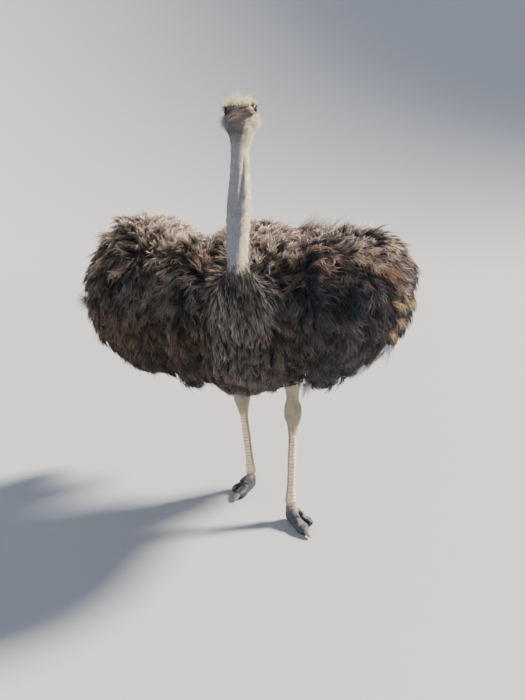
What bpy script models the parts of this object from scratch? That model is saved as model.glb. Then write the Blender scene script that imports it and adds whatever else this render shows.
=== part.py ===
"""A life-size ostrich hen that stands still with its wings held a little out from the body.

It faces -Y with +X on its own left, in metres, and its soles stand on the plane z = 0.
Every piece is a smooth section swept along a spine. Pieces that meet are parted by a thin gap.
"""

import math

import bpy
import bmesh
import numpy as np
from mathutils import Euler, Matrix, Vector

# Driving sizes.
GAP = 0.0005
EYE_HEIGHT = 1.788
HEAD_YAW = 27.5
HEAD_PITCH = -1.0
HEAD_ROLL = -6.0
EYE_MIDDLE = Vector((0.017, -0.436, EYE_HEIGHT))
EYE_RADIUS = 0.0225
EYE_SPREAD = 0.0355
ANKLE_HEIGHT = 0.512
TOE_JOINT_HEIGHT = 0.072
SHIFT = Vector((0.0825, -0.1025, 0.0))

# Finishes: colour and roughness of each kind of surface.
FINISHES = {
    "brown_plumage": ((0.105, 0.066, 0.045), 0.9),
    "pale_plumes": ((0.52, 0.47, 0.41), 0.9),
    "grey_down": ((0.40, 0.37, 0.33), 0.9),
    "crest_hair": ((0.47, 0.37, 0.26), 0.9),
    "horn": ((0.30, 0.22, 0.17), 0.45),
    "eye": ((0.03, 0.018, 0.012), 0.08),
    "bare_skin": ((0.50, 0.38, 0.27), 0.65),
    "foot_skin": ((0.30, 0.25, 0.21), 0.75),
}

# Pieces whose tufts cross a neighbour many times, where the EXACT solver leaves sealed slivers.
MANY_CROSSINGS = ("tail", "plumes", "thigh", "shoulder", "wing", "neck_base")

HEAD_FRAME = (
    Matrix.Translation(EYE_MIDDLE)
    @ Euler((0.0, 0.0, math.radians(HEAD_YAW))).to_matrix().to_4x4()
    @ Euler((math.radians(HEAD_PITCH), 0.0, 0.0)).to_matrix().to_4x4()
    @ Euler((0.0, math.radians(HEAD_ROLL), 0.0)).to_matrix().to_4x4()
)
UP = Vector((0.0, 0.0, 1.0))


def finish(name):
    """The material of one kind of surface, made once."""
    found = bpy.data.materials.get(name)
    if found:
        return found
    colour, roughness = FINISHES[name]
    made = bpy.data.materials.new(name)
    made.use_nodes = True
    shader = made.node_tree.nodes["Principled BSDF"]
    shader.inputs["Base Color"].default_value = (*colour, 1.0)
    shader.inputs["Roughness"].default_value = roughness
    shader.inputs["Metallic"].default_value = 0.0
    return made


def curve_through(knots, rows, at):
    """A smooth curve that passes through each row at its knot, read at the values in at."""
    knots = np.asarray(knots, float)
    rows = np.asarray(rows, float)
    slope = np.gradient(rows, knots, axis=0)
    at = np.clip(np.asarray(at, float), knots[0], knots[-1])
    i = np.clip(np.searchsorted(knots, at, side="right") - 1, 0, len(knots) - 2)
    width = (knots[i + 1] - knots[i])[:, None]
    t = ((at - knots[i]) / (knots[i + 1] - knots[i]))[:, None]
    return (
        (2 * t**3 - 3 * t**2 + 1) * rows[i]
        + (t**3 - 2 * t**2 + t) * width * slope[i]
        + (3 * t**2 - 2 * t**3) * rows[i + 1]
        + (t**3 - t**2) * width * slope[i + 1]
    )


def path_knots(path):
    """Each point's share of the way along its path."""
    steps = np.linalg.norm(np.diff(np.asarray(path, float), axis=0), axis=1)
    return np.concatenate([[0.0], np.cumsum(steps)]) / steps.sum()


def stations(steps, span, blunt):
    """Shares of the path at which sections stand, closer together towards a rounded end."""
    t = np.linspace(0.0, 1.0, steps)
    if blunt[0] and blunt[1]:
        t = (1 - np.cos(math.pi * t)) / 2
    elif blunt[0]:
        t = 1 - np.cos(math.pi / 2 * t)
    elif blunt[1]:
        t = np.sin(math.pi / 2 * t)
    return span[0] + (span[1] - span[0]) * t


def rounding(s, span, blunt):
    """How far each section is open: 1 along the body, falling to 0 at an end that rounds off."""
    open_ = np.ones_like(s)
    if blunt[0]:
        share = np.clip((s - span[0]) / blunt[0], 0, 1)
        open_ *= np.sqrt(1 - (1 - share) ** 2)
    if blunt[1]:
        share = np.clip((span[1] - s) / blunt[1], 0, 1)
        open_ *= np.sqrt(1 - (1 - share) ** 2)
    return open_


def section(angles, power):
    """Cosine and sine of each angle, squared off for powers over 2."""
    c, s = np.cos(angles), np.sin(angles)
    bend = 2.0 / power
    return np.sign(c) * np.abs(c) ** bend, np.sign(s) * np.abs(s) ** bend


def tufts(lobes, rows, depth, start=0.0):
    """Shallow overlapping tufts of plumage, as extra reach at a share of the length and an angle."""

    def relief(s, angle):
        round_ = np.cos(lobes * angle + 2.3 * np.sin(2.6 * rows * s + start))
        along = np.sin(2 * math.pi * rows * s + 1.7 * np.sin(2 * angle + start) + start)
        return depth * (0.55 * round_ + 0.45 * along)

    return relief


def cornered(relief, corners):
    """The same relief with some of the section's corners drawn in, each an angle, a spread and a depth."""

    def shaped(s, angle):
        extra = relief(s, angle)
        for middle, spread, depth in corners:
            turn = (angle - math.radians(middle) + math.pi) % (2 * math.pi) - math.pi
            extra = extra - depth * np.exp(-((turn / math.radians(spread)) ** 2))
        return extra

    return shaped


def cheeks(depth):
    """Fluffed cheeks: extra reach low on both sides of the rear half of the head."""

    def relief(s, angle):
        low = np.exp(-(((np.abs(np.cos(angle)) - 0.82) / 0.28) ** 2)) * (np.sin(angle) < 0.1)
        return depth * low * math.exp(-(((s - 0.38) / 0.24) ** 2))

    return relief


def sweep_mesh(shape, grow):
    """The closed mesh of one swept shape, all of it grow larger."""
    path = [Vector(p) for p in shape["path"]]
    span, blunt = shape.get("span", (0.0, 1.0)), shape.get("blunt", (0.0, 0.0))
    sides, power = shape["sides"], shape.get("power", 2.0)
    s = stations(shape["steps"], span, blunt)
    knots = path_knots(path)
    centre = curve_through(knots, path, s)
    ahead = curve_through(knots, path, s + 0.004) - curve_through(knots, path, s - 0.004)
    ahead /= np.linalg.norm(ahead, axis=1)[:, None]
    sizes = shape["sizes"]
    sizes = curve_through([r[0] for r in sizes], [r[1:] for r in sizes], s)
    open_ = rounding(s, span, blunt)
    up_hint = np.array(shape.get("up", UP), float)
    angles = np.linspace(0, 2 * math.pi, sides, endpoint=False)
    across, rise = section(angles, power)
    relief = shape.get("relief")
    bm = bmesh.new()
    rings = []
    for i, share in enumerate(s):
        tangent = ahead[i]
        up = up_hint - tangent * (up_hint @ tangent)
        up /= np.linalg.norm(up)
        right = np.cross(tangent, up)
        half, above, below = sizes[i]
        extra = relief(share, angles) if relief else 0.0
        reach = np.where(rise >= 0, above, below)
        wide = (half + extra) * across * open_[i]
        high = (reach + extra) * rise * open_[i]
        base = centre[i]
        points = base + np.outer(wide, right) + np.outer(high, up)
        if "floor" in shape:
            points[:, 2] = np.maximum(points[:, 2], shape["floor"])
        if open_[i] < 1e-6:
            rings.append([bm.verts.new(base)])
        else:
            rings.append([bm.verts.new(p) for p in points])
    for low, high in zip(rings, rings[1:]):
        for j in range(sides):
            k = (j + 1) % sides
            if len(low) == 1:
                bm.faces.new((low[0], high[j], high[k]))
            elif len(high) == 1:
                bm.faces.new((low[j], low[k], high[0]))
            else:
                bm.faces.new((low[j], low[k], high[k], high[j]))
    for ring in (rings[0], rings[-1]):
        if len(ring) > 1:
            bm.faces.new(ring)
    bmesh.ops.triangulate(bm, faces=bm.faces, quad_method="FIXED")
    bmesh.ops.recalc_face_normals(bm, faces=bm.faces)
    bm.normal_update()
    for vert in bm.verts:
        vert.co += vert.normal * grow
    mesh = bpy.data.meshes.new(shape["name"])
    if "frame" in shape:
        bm.transform(shape["frame"])
    bm.transform(Matrix.Translation(SHIFT))
    bm.to_mesh(mesh)
    bm.free()
    return mesh


def link(name, mesh):
    made = bpy.data.objects.new(name, mesh)
    bpy.context.scene.collection.objects.link(made)
    return made


def cutter(shape):
    """A hidden copy of a shape, one gap larger all round, that parts its neighbours from it."""
    name = "cut_" + shape["name"]
    found = bpy.data.objects.get(name)
    if found:
        return found
    made = link(name, sweep_mesh(shape, GAP))
    made.hide_render = True
    made.display_type = "WIRE"
    return made


def piece(shape, parted_from=()):
    """One named solid, with its neighbours' grown copies cut away from it."""
    made = link(shape["name"], sweep_mesh(shape, 0.0))
    made.data.materials.append(finish(shape["finish"]))
    made.data.shade_smooth()
    for other in parted_from:
        cut = made.modifiers.new("part_from_" + other["name"], "BOOLEAN")
        cut.operation = "DIFFERENCE"
        cut.solver = "MANIFOLD" if shape["name"].startswith(MANY_CROSSINGS) else "EXACT"
        cut.object = cutter(other)
    return made


def trunk_shape():
    return {
        "name": "trunk",
        "finish": "brown_plumage",
        "path": [(0, -0.465, 1.055), (0, -0.20, 1.045), (0, 0.05, 1.055), (0, 0.30, 1.09), (0, 0.53, 1.13)],
        "sizes": [
            (0.00, 0.27, 0.24, 0.34),
            (0.25, 0.34, 0.30, 0.41),
            (0.50, 0.35, 0.345, 0.375),
            (0.75, 0.33, 0.350, 0.34),
            (1.00, 0.27, 0.26, 0.27),
        ],
        "blunt": (0.5, 0.5),
        "sides": 26,
        "steps": 17,
        "relief": cornered(tufts(7, 4, 0.011), [(-122, 24, -0.040), (124, 24, -0.032)]),
    }


def neck_shapes():
    """Base cone of breast feathers, then three lengths of bare neck on one spine."""
    base = {
        "name": "neck_base",
        "finish": "grey_down",
        "path": [(0, -0.24, 1.06), (0, -0.35, 1.10), (0.002, -0.428, 1.18), (0.004, -0.452, 1.262)],
        "sizes": [(0.0, 0.17, 0.15, 0.19), (0.40, 0.150, 0.11, 0.165), (0.75, 0.085, 0.066, 0.082), (1.0, 0.041, 0.044, 0.044)],
        "up": (0, 1, 0.2),
        "blunt": (0.3, 0.0),
        "sides": 20,
        "steps": 9,
        "relief": tufts(7, 3, 0.005, 0.7),
    }
    spine = {
        "finish": "grey_down",
        "path": [
            (0.004, -0.4523, 1.2630),
            (0.005, -0.4540, 1.36),
            (0.011, -0.4450, 1.50),
            (0.012, -0.4330, 1.62),
            (0.012, -0.4270, 1.71),
            (0.014, -0.4200, 1.78),
        ],
        "sizes": [
            (0.0, 0.0385, 0.043, 0.043),
            (0.2, 0.0415, 0.044, 0.044),
            (0.42, 0.0450, 0.047, 0.047),
            (0.65, 0.0355, 0.039, 0.039),
            (0.80, 0.0345, 0.037, 0.038),
            (1.0, 0.040, 0.042, 0.044),
        ],
        "up": (0, 1, 0),
        "sides": 18,
    }
    shares = [0.0, 0.34, 0.67, 1.0]
    names = ["neck_lower", "neck_middle", "neck_upper"]
    lengths = []
    length = 0.53
    for name, start, end in zip(names, shares, shares[1:]):
        open_gap = GAP / length
        lengths.append({**spine, "name": name, "steps": 6, "span": (start + (open_gap if start else 0.0), end)})
    return base, lengths


def head_shapes():
    """Skull with cheeks, crest, the two halves of the bill and the eyes, in the head's own frame."""
    skull = {
        "name": "head",
        "finish": "grey_down",
        "frame": HEAD_FRAME,
        "path": [(0, 0.068, -0.008), (0, 0.036, -0.014), (0, 0.0, -0.014), (0, -0.035, -0.015), (0, -0.064, -0.018)],
        "sizes": [
            (0.00, 0.049, 0.037, 0.040),
            (0.26, 0.056, 0.049, 0.074),
            (0.52, 0.051, 0.049, 0.070),
            (0.78, 0.041, 0.037, 0.043),
            (1.00, 0.031, 0.021, 0.022),
        ],
        "blunt": (0.45, 0.16),
        "power": 2.15,
        "sides": 18,
        "steps": 12,
        "relief": cheeks(0.010),
    }
    crest = {
        "name": "crest",
        "finish": "crest_hair",
        "frame": HEAD_FRAME,
        "path": [(0, 0.070, 0.006), (0, 0.03, 0.020), (0, -0.01, 0.024), (0, -0.046, 0.012)],
        "sizes": [(0.0, 0.046, 0.024, 0.016), (0.35, 0.060, 0.036, 0.016), (0.70, 0.057, 0.030, 0.014), (1.0, 0.034, 0.012, 0.010)],
        "blunt": (0.5, 0.45),
        "power": 1.9,
        "sides": 16,
        "steps": 8,
        "relief": tufts(5, 3, 0.003, 0.4),
    }
    upper = {
        "name": "bill_upper",
        "finish": "horn",
        "frame": HEAD_FRAME,
        "path": [(0, -0.030, -0.016), (0, -0.06, -0.0185), (0, -0.09, -0.0220), (0, -0.116, -0.0265)],
        "sizes": [(0.0, 0.033, 0.018, 0.0), (0.4, 0.0295, 0.0165, 0.0), (0.75, 0.023, 0.012, 0.0), (1.0, 0.016, 0.007, 0.0)],
        "blunt": (0.0, 0.22),
        "power": 2.1,
        "sides": 14,
        "steps": 9,
    }
    lower = {
        "name": "bill_lower",
        "finish": "horn",
        "frame": HEAD_FRAME,
        "path": [(0, -0.030, -0.0166), (0, -0.06, -0.0191), (0, -0.09, -0.0226), (0, -0.1125, -0.0268)],
        "sizes": [(0.0, 0.031, 0.0, 0.017), (0.4, 0.0275, 0.0, 0.0135), (0.75, 0.021, 0.0, 0.0085), (1.0, 0.013, 0.0, 0.005)],
        "blunt": (0.0, 0.22),
        "power": 2.1,
        "sides": 14,
        "steps": 9,
    }
    eyes = []
    for side, sign in (("left", 1), ("right", -1)):
        outward = EYE_RADIUS * sign
        eyes.append(
            {
                "name": "eye_" + side,
                "finish": "eye",
                "frame": HEAD_FRAME,
                "path": [(sign * EYE_SPREAD - outward, 0, 0), (sign * EYE_SPREAD, 0, 0), (sign * EYE_SPREAD + outward, 0, 0)],
                "sizes": [(0.0, EYE_RADIUS, EYE_RADIUS, EYE_RADIUS), (1.0, EYE_RADIUS, EYE_RADIUS, EYE_RADIUS)],
                "blunt": (0.5, 0.5),
                "sides": 12,
                "steps": 8,
            }
        )
    return skull, crest, upper, lower, eyes


def wing_shapes(side):
    """Shoulder tuft, the wing's big outer mass and the pale plumes under its trailing edge."""
    sign = 1 if side == "left" else -1
    if side == "left":
        out, wide, above, below, middle, hang = 0.355, 0.305, 0.355, 0.345, 1.055, 0.40
        corners = [(-48, 30, 0.070), (40, 26, -0.020)]
    else:
        out, wide, above, below, middle, hang = 0.472, 0.355, 0.375, 0.395, 1.070, 0.435
        corners = [(-135, 26, 0.034), (64, 24, 0.048), (118, 20, -0.016)]
    shoulder = {
        "name": "shoulder_" + side,
        "finish": "brown_plumage",
        "path": [(sign * 0.25, -0.385, 1.04), (sign * 0.27, -0.22, 1.065), (sign * 0.28, -0.02, 1.09), (sign * 0.26, 0.16, 1.11)],
        "sizes": [(0.0, 0.155, 0.24, hang - 0.06), (0.5, 0.170, 0.290, hang), (1.0, 0.15, 0.24, hang - 0.08)],
        "blunt": (0.5, 0.5),
        "sides": 18,
        "steps": 11,
        "power": 2.1,
        "relief": tufts(5, 3, 0.010, 0.3 if side == "left" else 1.9),
    }
    outer = {
        "name": "wing_" + side,
        "finish": "brown_plumage",
        "path": [
            (sign * (out - 0.06), -0.345, middle - 0.005),
            (sign * out, -0.12, middle),
            (sign * (out + 0.01), 0.14, middle - 0.015),
            (sign * (out - 0.01), 0.38, middle - 0.065),
            (sign * (out - 0.05), 0.60, middle - 0.155),
        ],
        "sizes": [
            (0.0, wide - 0.03, above - 0.035, below - 0.04),
            (0.30, wide, above, below),
            (0.55, wide, above - 0.005, below - 0.01),
            (0.80, wide - 0.05, above - 0.08, below - 0.08),
            (1.0, wide - 0.13, above - 0.175, below - 0.18),
        ],
        "blunt": (0.42, 0.34),
        "sides": 22,
        "steps": 14,
        "power": 2.25,
        "relief": cornered(tufts(7, 4, 0.013, 1.1 if side == "left" else 2.6), corners),
    }
    plumes = {
        "name": "plumes_" + side,
        "finish": "pale_plumes",
        "path": [
            (sign * out, 0.24, 0.90),
            (sign * (out + 0.05), 0.38, 0.81),
            (sign * (out + 0.08), 0.50, 0.70),
            (sign * (out + 0.09), 0.56, 0.61),
        ],
        "sizes": [(0.0, 0.15, 0.07, 0.06), (0.45, 0.155, 0.06, 0.05), (0.8, 0.11, 0.04, 0.04), (1.0, 0.07, 0.025, 0.025)],
        "up": (0, 1, 0.4),
        "blunt": (0.3, 0.25),
        "sides": 14,
        "steps": 9,
        "relief": tufts(5, 3, 0.006, 0.9 if side == "left" else 2.2),
    }
    return shoulder, outer, plumes


def tail_shape():
    return {
        "name": "tail",
        "finish": "pale_plumes",
        "path": [(0, 0.34, 1.16), (0, 0.50, 1.20), (0, 0.62, 1.13), (0, 0.69, 1.0), (0, 0.71, 0.87)],
        "sizes": [(0.0, 0.15, 0.10, 0.12), (0.35, 0.17, 0.10, 0.12), (0.7, 0.145, 0.07, 0.08), (1.0, 0.08, 0.035, 0.04)],
        "blunt": (0.3, 0.25),
        "sides": 16,
        "steps": 10,
        "relief": tufts(5, 4, 0.008, 0.5),
    }


def leg_shapes(side):
    """Thigh and shank on one spine, cut just above the ankle, then the toes and the claw."""
    if side == "left":
        spine = [(0.125, -0.055, 0.93), (0.137, -0.03, 0.78), (0.142, 0.012, 0.64)]
        ankle = Vector((0.143, 0.036, ANKLE_HEIGHT))
        joint = Vector((0.155, -0.078, TOE_JOINT_HEIGHT))
        big, small, face = 41.0, 77.0, 30.0
    else:
        spine = [(-0.13, 0.07, 0.93), (-0.143, 0.11, 0.78), (-0.150, 0.158, 0.64)]
        ankle = Vector((-0.150, 0.188, ANKLE_HEIGHT + 0.008))
        joint = Vector((-0.098, 0.182, TOE_JOINT_HEIGHT))
        big, small, face = -18.0, -50.0, -16.0
    path = spine + [tuple(ankle), tuple(ankle.lerp(joint, 0.5)), tuple(joint)]
    knots = path_knots([Vector(p) for p in path])
    cut = (knots[2] * 0.62 + knots[3] * 0.38)
    sizes = [
        (0.0, 0.085, 0.13, 0.13),
        (knots[1], 0.072, 0.098, 0.10),
        (knots[2], 0.0375, 0.042, 0.046),
        (cut, 0.0335, 0.036, 0.040),
        (knots[3] - 0.02, 0.0445, 0.043, 0.047),
        (knots[3] + 0.03, 0.0415, 0.038, 0.044),
        (knots[3] + 0.10, 0.0225, 0.026, 0.029),
        (knots[4], 0.0190, 0.024, 0.026),
        (0.90, 0.0195, 0.024, 0.026),
        (1.0, 0.031, 0.031, 0.033),
    ]
    front = (math.sin(math.radians(face)), -math.cos(math.radians(face)), 0.0)
    leg = {"finish": "bare_skin", "path": path, "sizes": sizes, "up": front}
    thigh = {**leg, "name": "thigh_" + side, "span": (0.0, cut - GAP), "blunt": (0.22, 0.0), "sides": 16, "steps": 10}
    shank = {**leg, "name": "shank_" + side, "span": (cut, 1.0), "blunt": (0.0, 0.045), "sides": 12, "steps": 18}
    toes = []
    for name, turn, reach, wide, high, back in (
        ("big_toe_", big, 0.150, 0.0300, 0.026, 0.022),
        ("small_toe_", small, 0.118, 0.0205, 0.020, -0.006),
    ):
        ahead = Vector((math.sin(math.radians(turn)), -math.cos(math.radians(turn)), 0.0))
        start = Vector((joint.x, joint.y, 0.0))
        toes.append(
            {
                "name": name + side,
                "finish": "foot_skin",
                "path": [
                    tuple(start - ahead * back + UP * 0.046),
                    tuple(start + ahead * 0.30 * reach + UP * 0.040),
                    tuple(start + ahead * 0.66 * reach + UP * 0.024),
                    tuple(start + ahead * reach + UP * 0.015),
                ],
                "sizes": [
                    (0.0, wide, high + 0.004, 0.05),
                    (0.35, wide * 0.90, high, 0.045),
                    (0.55, wide * 0.84, high * 0.80, 0.040),
                    (0.78, wide * 0.98, high * 0.86, 0.030),
                    (1.0, wide * 0.72, high * 0.62, 0.022),
                ],
                "blunt": (0.20, 0.20),
                "floor": 0.0,
                "power": 2.3,
                "sides": 14,
                "steps": 10,
            }
        )
    ahead = Vector((math.sin(math.radians(big)), -math.cos(math.radians(big)), 0.0))
    start = Vector((joint.x, joint.y, 0.0))
    claw = {
        "name": "claw_" + side,
        "finish": "horn",
        "path": [
            tuple(start + ahead * 0.120 + UP * 0.026),
            tuple(start + ahead * 0.150 + UP * 0.0215),
            tuple(start + ahead * 0.178 + UP * 0.0085),
        ],
        "sizes": [(0.0, 0.0150, 0.012, 0.010), (0.5, 0.0145, 0.010, 0.010), (1.0, 0.007, 0.005, 0.005)],
        "blunt": (0.15, 0.25),
        "floor": 0.0012,
        "sides": 12,
        "steps": 8,
    }
    return thigh, shank, toes[0], toes[1], claw


def build():
    for old in list(bpy.data.objects):
        bpy.data.objects.remove(old, do_unlink=True)
    trunk = trunk_shape()
    neck_base, neck_lengths = neck_shapes()
    skull, crest, upper, lower, eyes = head_shapes()
    piece(trunk)
    piece(neck_base, [trunk])
    for length in neck_lengths:
        piece(length, [skull] if length["name"] == "neck_upper" else [neck_base] if length["name"] == "neck_lower" else [])
    piece(skull, eyes)
    piece(crest, [skull] + eyes)
    piece(upper, [skull])
    piece(lower, [skull])
    for eye in eyes:
        piece(eye)
    tail = tail_shape()
    piece(tail, [trunk])
    for side in ("left", "right"):
        shoulder, outer, plumes = wing_shapes(side)
        piece(shoulder, [trunk, neck_base])
        piece(outer, [trunk, shoulder])
        piece(plumes, [trunk, outer])
        thigh, shank, big, small, claw = leg_shapes(side)
        piece(thigh, [trunk, outer, shoulder])
        piece(shank)
        piece(big, [shank])
        piece(small, [shank, big])
        piece(claw, [big])


build()
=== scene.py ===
from math import cos, pi, radians, sin

import bmesh
import bpy
import numpy as np
from mathutils import Matrix, Vector
from mathutils.bvhtree import BVHTree
from mathutils.kdtree import KDTree


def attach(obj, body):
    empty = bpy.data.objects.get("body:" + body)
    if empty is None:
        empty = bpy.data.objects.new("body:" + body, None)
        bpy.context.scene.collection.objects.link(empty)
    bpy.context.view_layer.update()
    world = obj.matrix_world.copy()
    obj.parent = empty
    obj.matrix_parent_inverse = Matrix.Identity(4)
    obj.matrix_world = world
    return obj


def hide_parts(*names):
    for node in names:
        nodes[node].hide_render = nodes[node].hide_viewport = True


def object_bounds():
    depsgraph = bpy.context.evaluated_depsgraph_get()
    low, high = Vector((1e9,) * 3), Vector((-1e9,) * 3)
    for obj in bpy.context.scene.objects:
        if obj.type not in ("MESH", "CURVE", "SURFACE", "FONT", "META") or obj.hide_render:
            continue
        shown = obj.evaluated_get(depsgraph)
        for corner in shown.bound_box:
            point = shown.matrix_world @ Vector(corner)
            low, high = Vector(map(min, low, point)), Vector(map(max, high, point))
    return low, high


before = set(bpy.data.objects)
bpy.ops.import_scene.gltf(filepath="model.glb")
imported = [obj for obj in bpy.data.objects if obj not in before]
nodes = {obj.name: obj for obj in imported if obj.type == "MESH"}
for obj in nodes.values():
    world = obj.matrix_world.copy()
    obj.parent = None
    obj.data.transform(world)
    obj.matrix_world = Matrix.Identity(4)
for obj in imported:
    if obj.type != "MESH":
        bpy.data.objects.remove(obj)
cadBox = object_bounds()
bodyX = 0.0825  # the bird's own middle plane
up = np.array((0.0, 0.0, 1.0))
print("frame loaded,", len(nodes), "solids")


# small helpers for arrays and meshes

def unit(vectors):
    return vectors / np.maximum(np.linalg.norm(vectors, axis=-1, keepdims=True), 1e-9)


def ease(low, high, x):
    share = np.clip((x - low) / (high - low), 0.0, 1.0)
    return share * share * (3.0 - 2.0 * share)


def bump(x, middle, width):
    return np.exp(-(((x - middle) / width) ** 2))


def farFrom(points, place):
    return np.linalg.norm(points - place, axis=1)


def tangent(want, facing):
    # the direction along a surface that is nearest to the one wanted
    return unit(want - facing * (want * facing).sum(axis=1, keepdims=True))


def mix(a, b, share):
    share = np.asarray(share)[..., None]
    return a * (1.0 - share) + b * share


def paint(red, green, blue):
    # display values 0 to 255, as the renderer's linear ones
    shown = np.array((red, green, blue)) / 255.0
    return np.where(shown <= 0.04045, shown / 12.92, ((shown + 0.055) / 1.055) ** 2.4)


def layered(colour, *layers):
    # each tone painted over what is there, by its share at each place
    for tone, share in layers:
        colour = mix(colour, paint(*tone), share)
    return colour


def pointsOf(mesh):
    flat = np.empty(len(mesh.vertices) * 3, np.float32)
    mesh.vertices.foreach_get("co", flat)
    return flat.reshape(-1, 3).astype(float)


def normalsOf(mesh):
    flat = np.empty(len(mesh.vertices) * 3, np.float32)
    mesh.vertices.foreach_get("normal", flat)
    return flat.reshape(-1, 3).astype(float)


def movePoints(mesh, points):
    mesh.vertices.foreach_set("co", np.asarray(points, np.float32).ravel())
    mesh.update()


def waves(points, size, seed, octaves=3):
    # soft repeatable noise from summed sines, about -1 to 1
    ripples = 5
    finer = 1.7  # each octave's ripples are this much finer than the last
    weaker = 1.6  # and this much weaker
    rng = np.random.default_rng(seed)
    total = np.zeros(len(points))
    weight = 0.0
    for octave in range(octaves):
        for _ in range(ripples):
            way = rng.normal(size=3)
            way *= 2.0 * pi / (size * np.linalg.norm(way)) * finer**octave
            total += np.sin(points @ way + rng.uniform(0, 2 * pi)) / weaker**octave
        weight += 1.9 / weaker**octave
    return np.clip(total / weight, -1.0, 1.0)


def meshFrom(shape, name):
    # a finished edit mesh as mesh data
    mesh = bpy.data.meshes.new(name)
    shape.to_mesh(mesh)
    shape.free()
    return mesh


def bridged(shape, rings):
    # faces between each ring of points and the next
    for low, high in zip(rings, rings[1:]):
        for i in range(len(low)):
            j = (i + 1) % len(low)
            shape.faces.new((low[i], low[j], high[j], high[i]))


def linked(name, data):
    obj = bpy.data.objects.new(name, data)
    bpy.context.scene.collection.objects.link(obj)
    return obj


def settled(obj):
    # the modifiers' result becomes the piece's own mesh
    graph = bpy.context.evaluated_depsgraph_get()
    mesh = bpy.data.meshes.new_from_object(obj.evaluated_get(graph))
    obj.modifiers.clear()
    obj.data = mesh
    return obj


def joinedSolids(name, names, growth=0.0):
    # the named solids in one mesh, each surface moved out a little
    whole = bmesh.new()
    for node in names:
        part = bmesh.new()
        part.from_mesh(nodes[node].data)
        bmesh.ops.remove_doubles(part, verts=part.verts, dist=2e-5)
        part.normal_update()
        for vert in part.verts:
            vert.co += vert.normal * growth
        moved = meshFrom(part, "moved")
        whole.from_mesh(moved)
        bpy.data.meshes.remove(moved)
    return linked(name, meshFrom(whole, name))


def remeshed(obj, voxel, rounds):
    # an even mesh of this voxel size, softened by a few rounds
    skinning = obj.modifiers.new("remesh", "REMESH")
    skinning.mode = "VOXEL"
    skinning.voxel_size = voxel
    softer = obj.modifiers.new("smooth", "SMOOTH")
    softer.factor = 0.5
    softer.iterations = rounds
    return settled(obj)


def surfaceOf(mesh):
    # a tree for nearest points, with soft normals for each face
    corners = [tuple(face.vertices) for face in mesh.polygons]
    tree = BVHTree.FromPolygons(pointsOf(mesh).tolist(), corners)
    soft = normalsOf(mesh)
    first = np.array([(c[0], c[1], c[2], c[-1]) for c in corners])
    return {"tree": tree, "normals": unit(soft[first].mean(axis=1))}


def nearestOn(surface, points):
    found = [surface["tree"].find_nearest(point) for point in points.tolist()]
    spots = np.array([tuple(hit[0]) for hit in found])
    return spots, surface["normals"][np.array([hit[2] for hit in found])]


def treeOf(points):
    tree = KDTree(len(points))
    for i, spot in enumerate(points.tolist()):
        tree.insert(spot, i)
    tree.balance()
    return tree


def scattered(mesh, spacing, rng, density=None):
    # roots spread over a surface, none nearer to another than its own spacing allows
    crowd = 2.2  # tries for each root that there is room for
    nearest = 0.78  # the share of the spacing that stays clear
    mesh.calc_loop_triangles()
    corner = np.empty(len(mesh.loop_triangles) * 3, np.int32)
    mesh.loop_triangles.foreach_get("vertices", corner)
    points, soft = pointsOf(mesh), normalsOf(mesh)
    corner = corner.reshape(-1, 3)
    a, b, c = points[corner[:, 0]], points[corner[:, 1]], points[corner[:, 2]]
    area = 0.5 * np.linalg.norm(np.cross(b - a, c - a), axis=1)
    weight = area if density is None else area * density((a + b + c) / 3.0)
    count = int(crowd * weight.sum() / spacing**2)
    pick = rng.choice(len(corner), count, p=weight / weight.sum())
    r, s = np.sqrt(rng.random(count)), rng.random(count)
    share = np.stack((1 - r, r * (1 - s), r * s), axis=1)[..., None]
    spots = (points[corner[pick]] * share).sum(axis=1)
    facing = unit((soft[corner[pick]] * share).sum(axis=1))
    reach = np.full(count, spacing)
    if density is not None:
        reach = spacing / np.sqrt(np.maximum(density(spots), 0.02))
    tree = treeOf(spots)
    kept = np.ones(count, bool)
    for i in range(count):
        if kept[i]:
            for _, j, _ in tree.find_range(spots[i].tolist(), float(reach[i]) * nearest):
                if j > i:
                    kept[j] = False
    return spots[kept], facing[kept]


# how a finish is mixed

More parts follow.
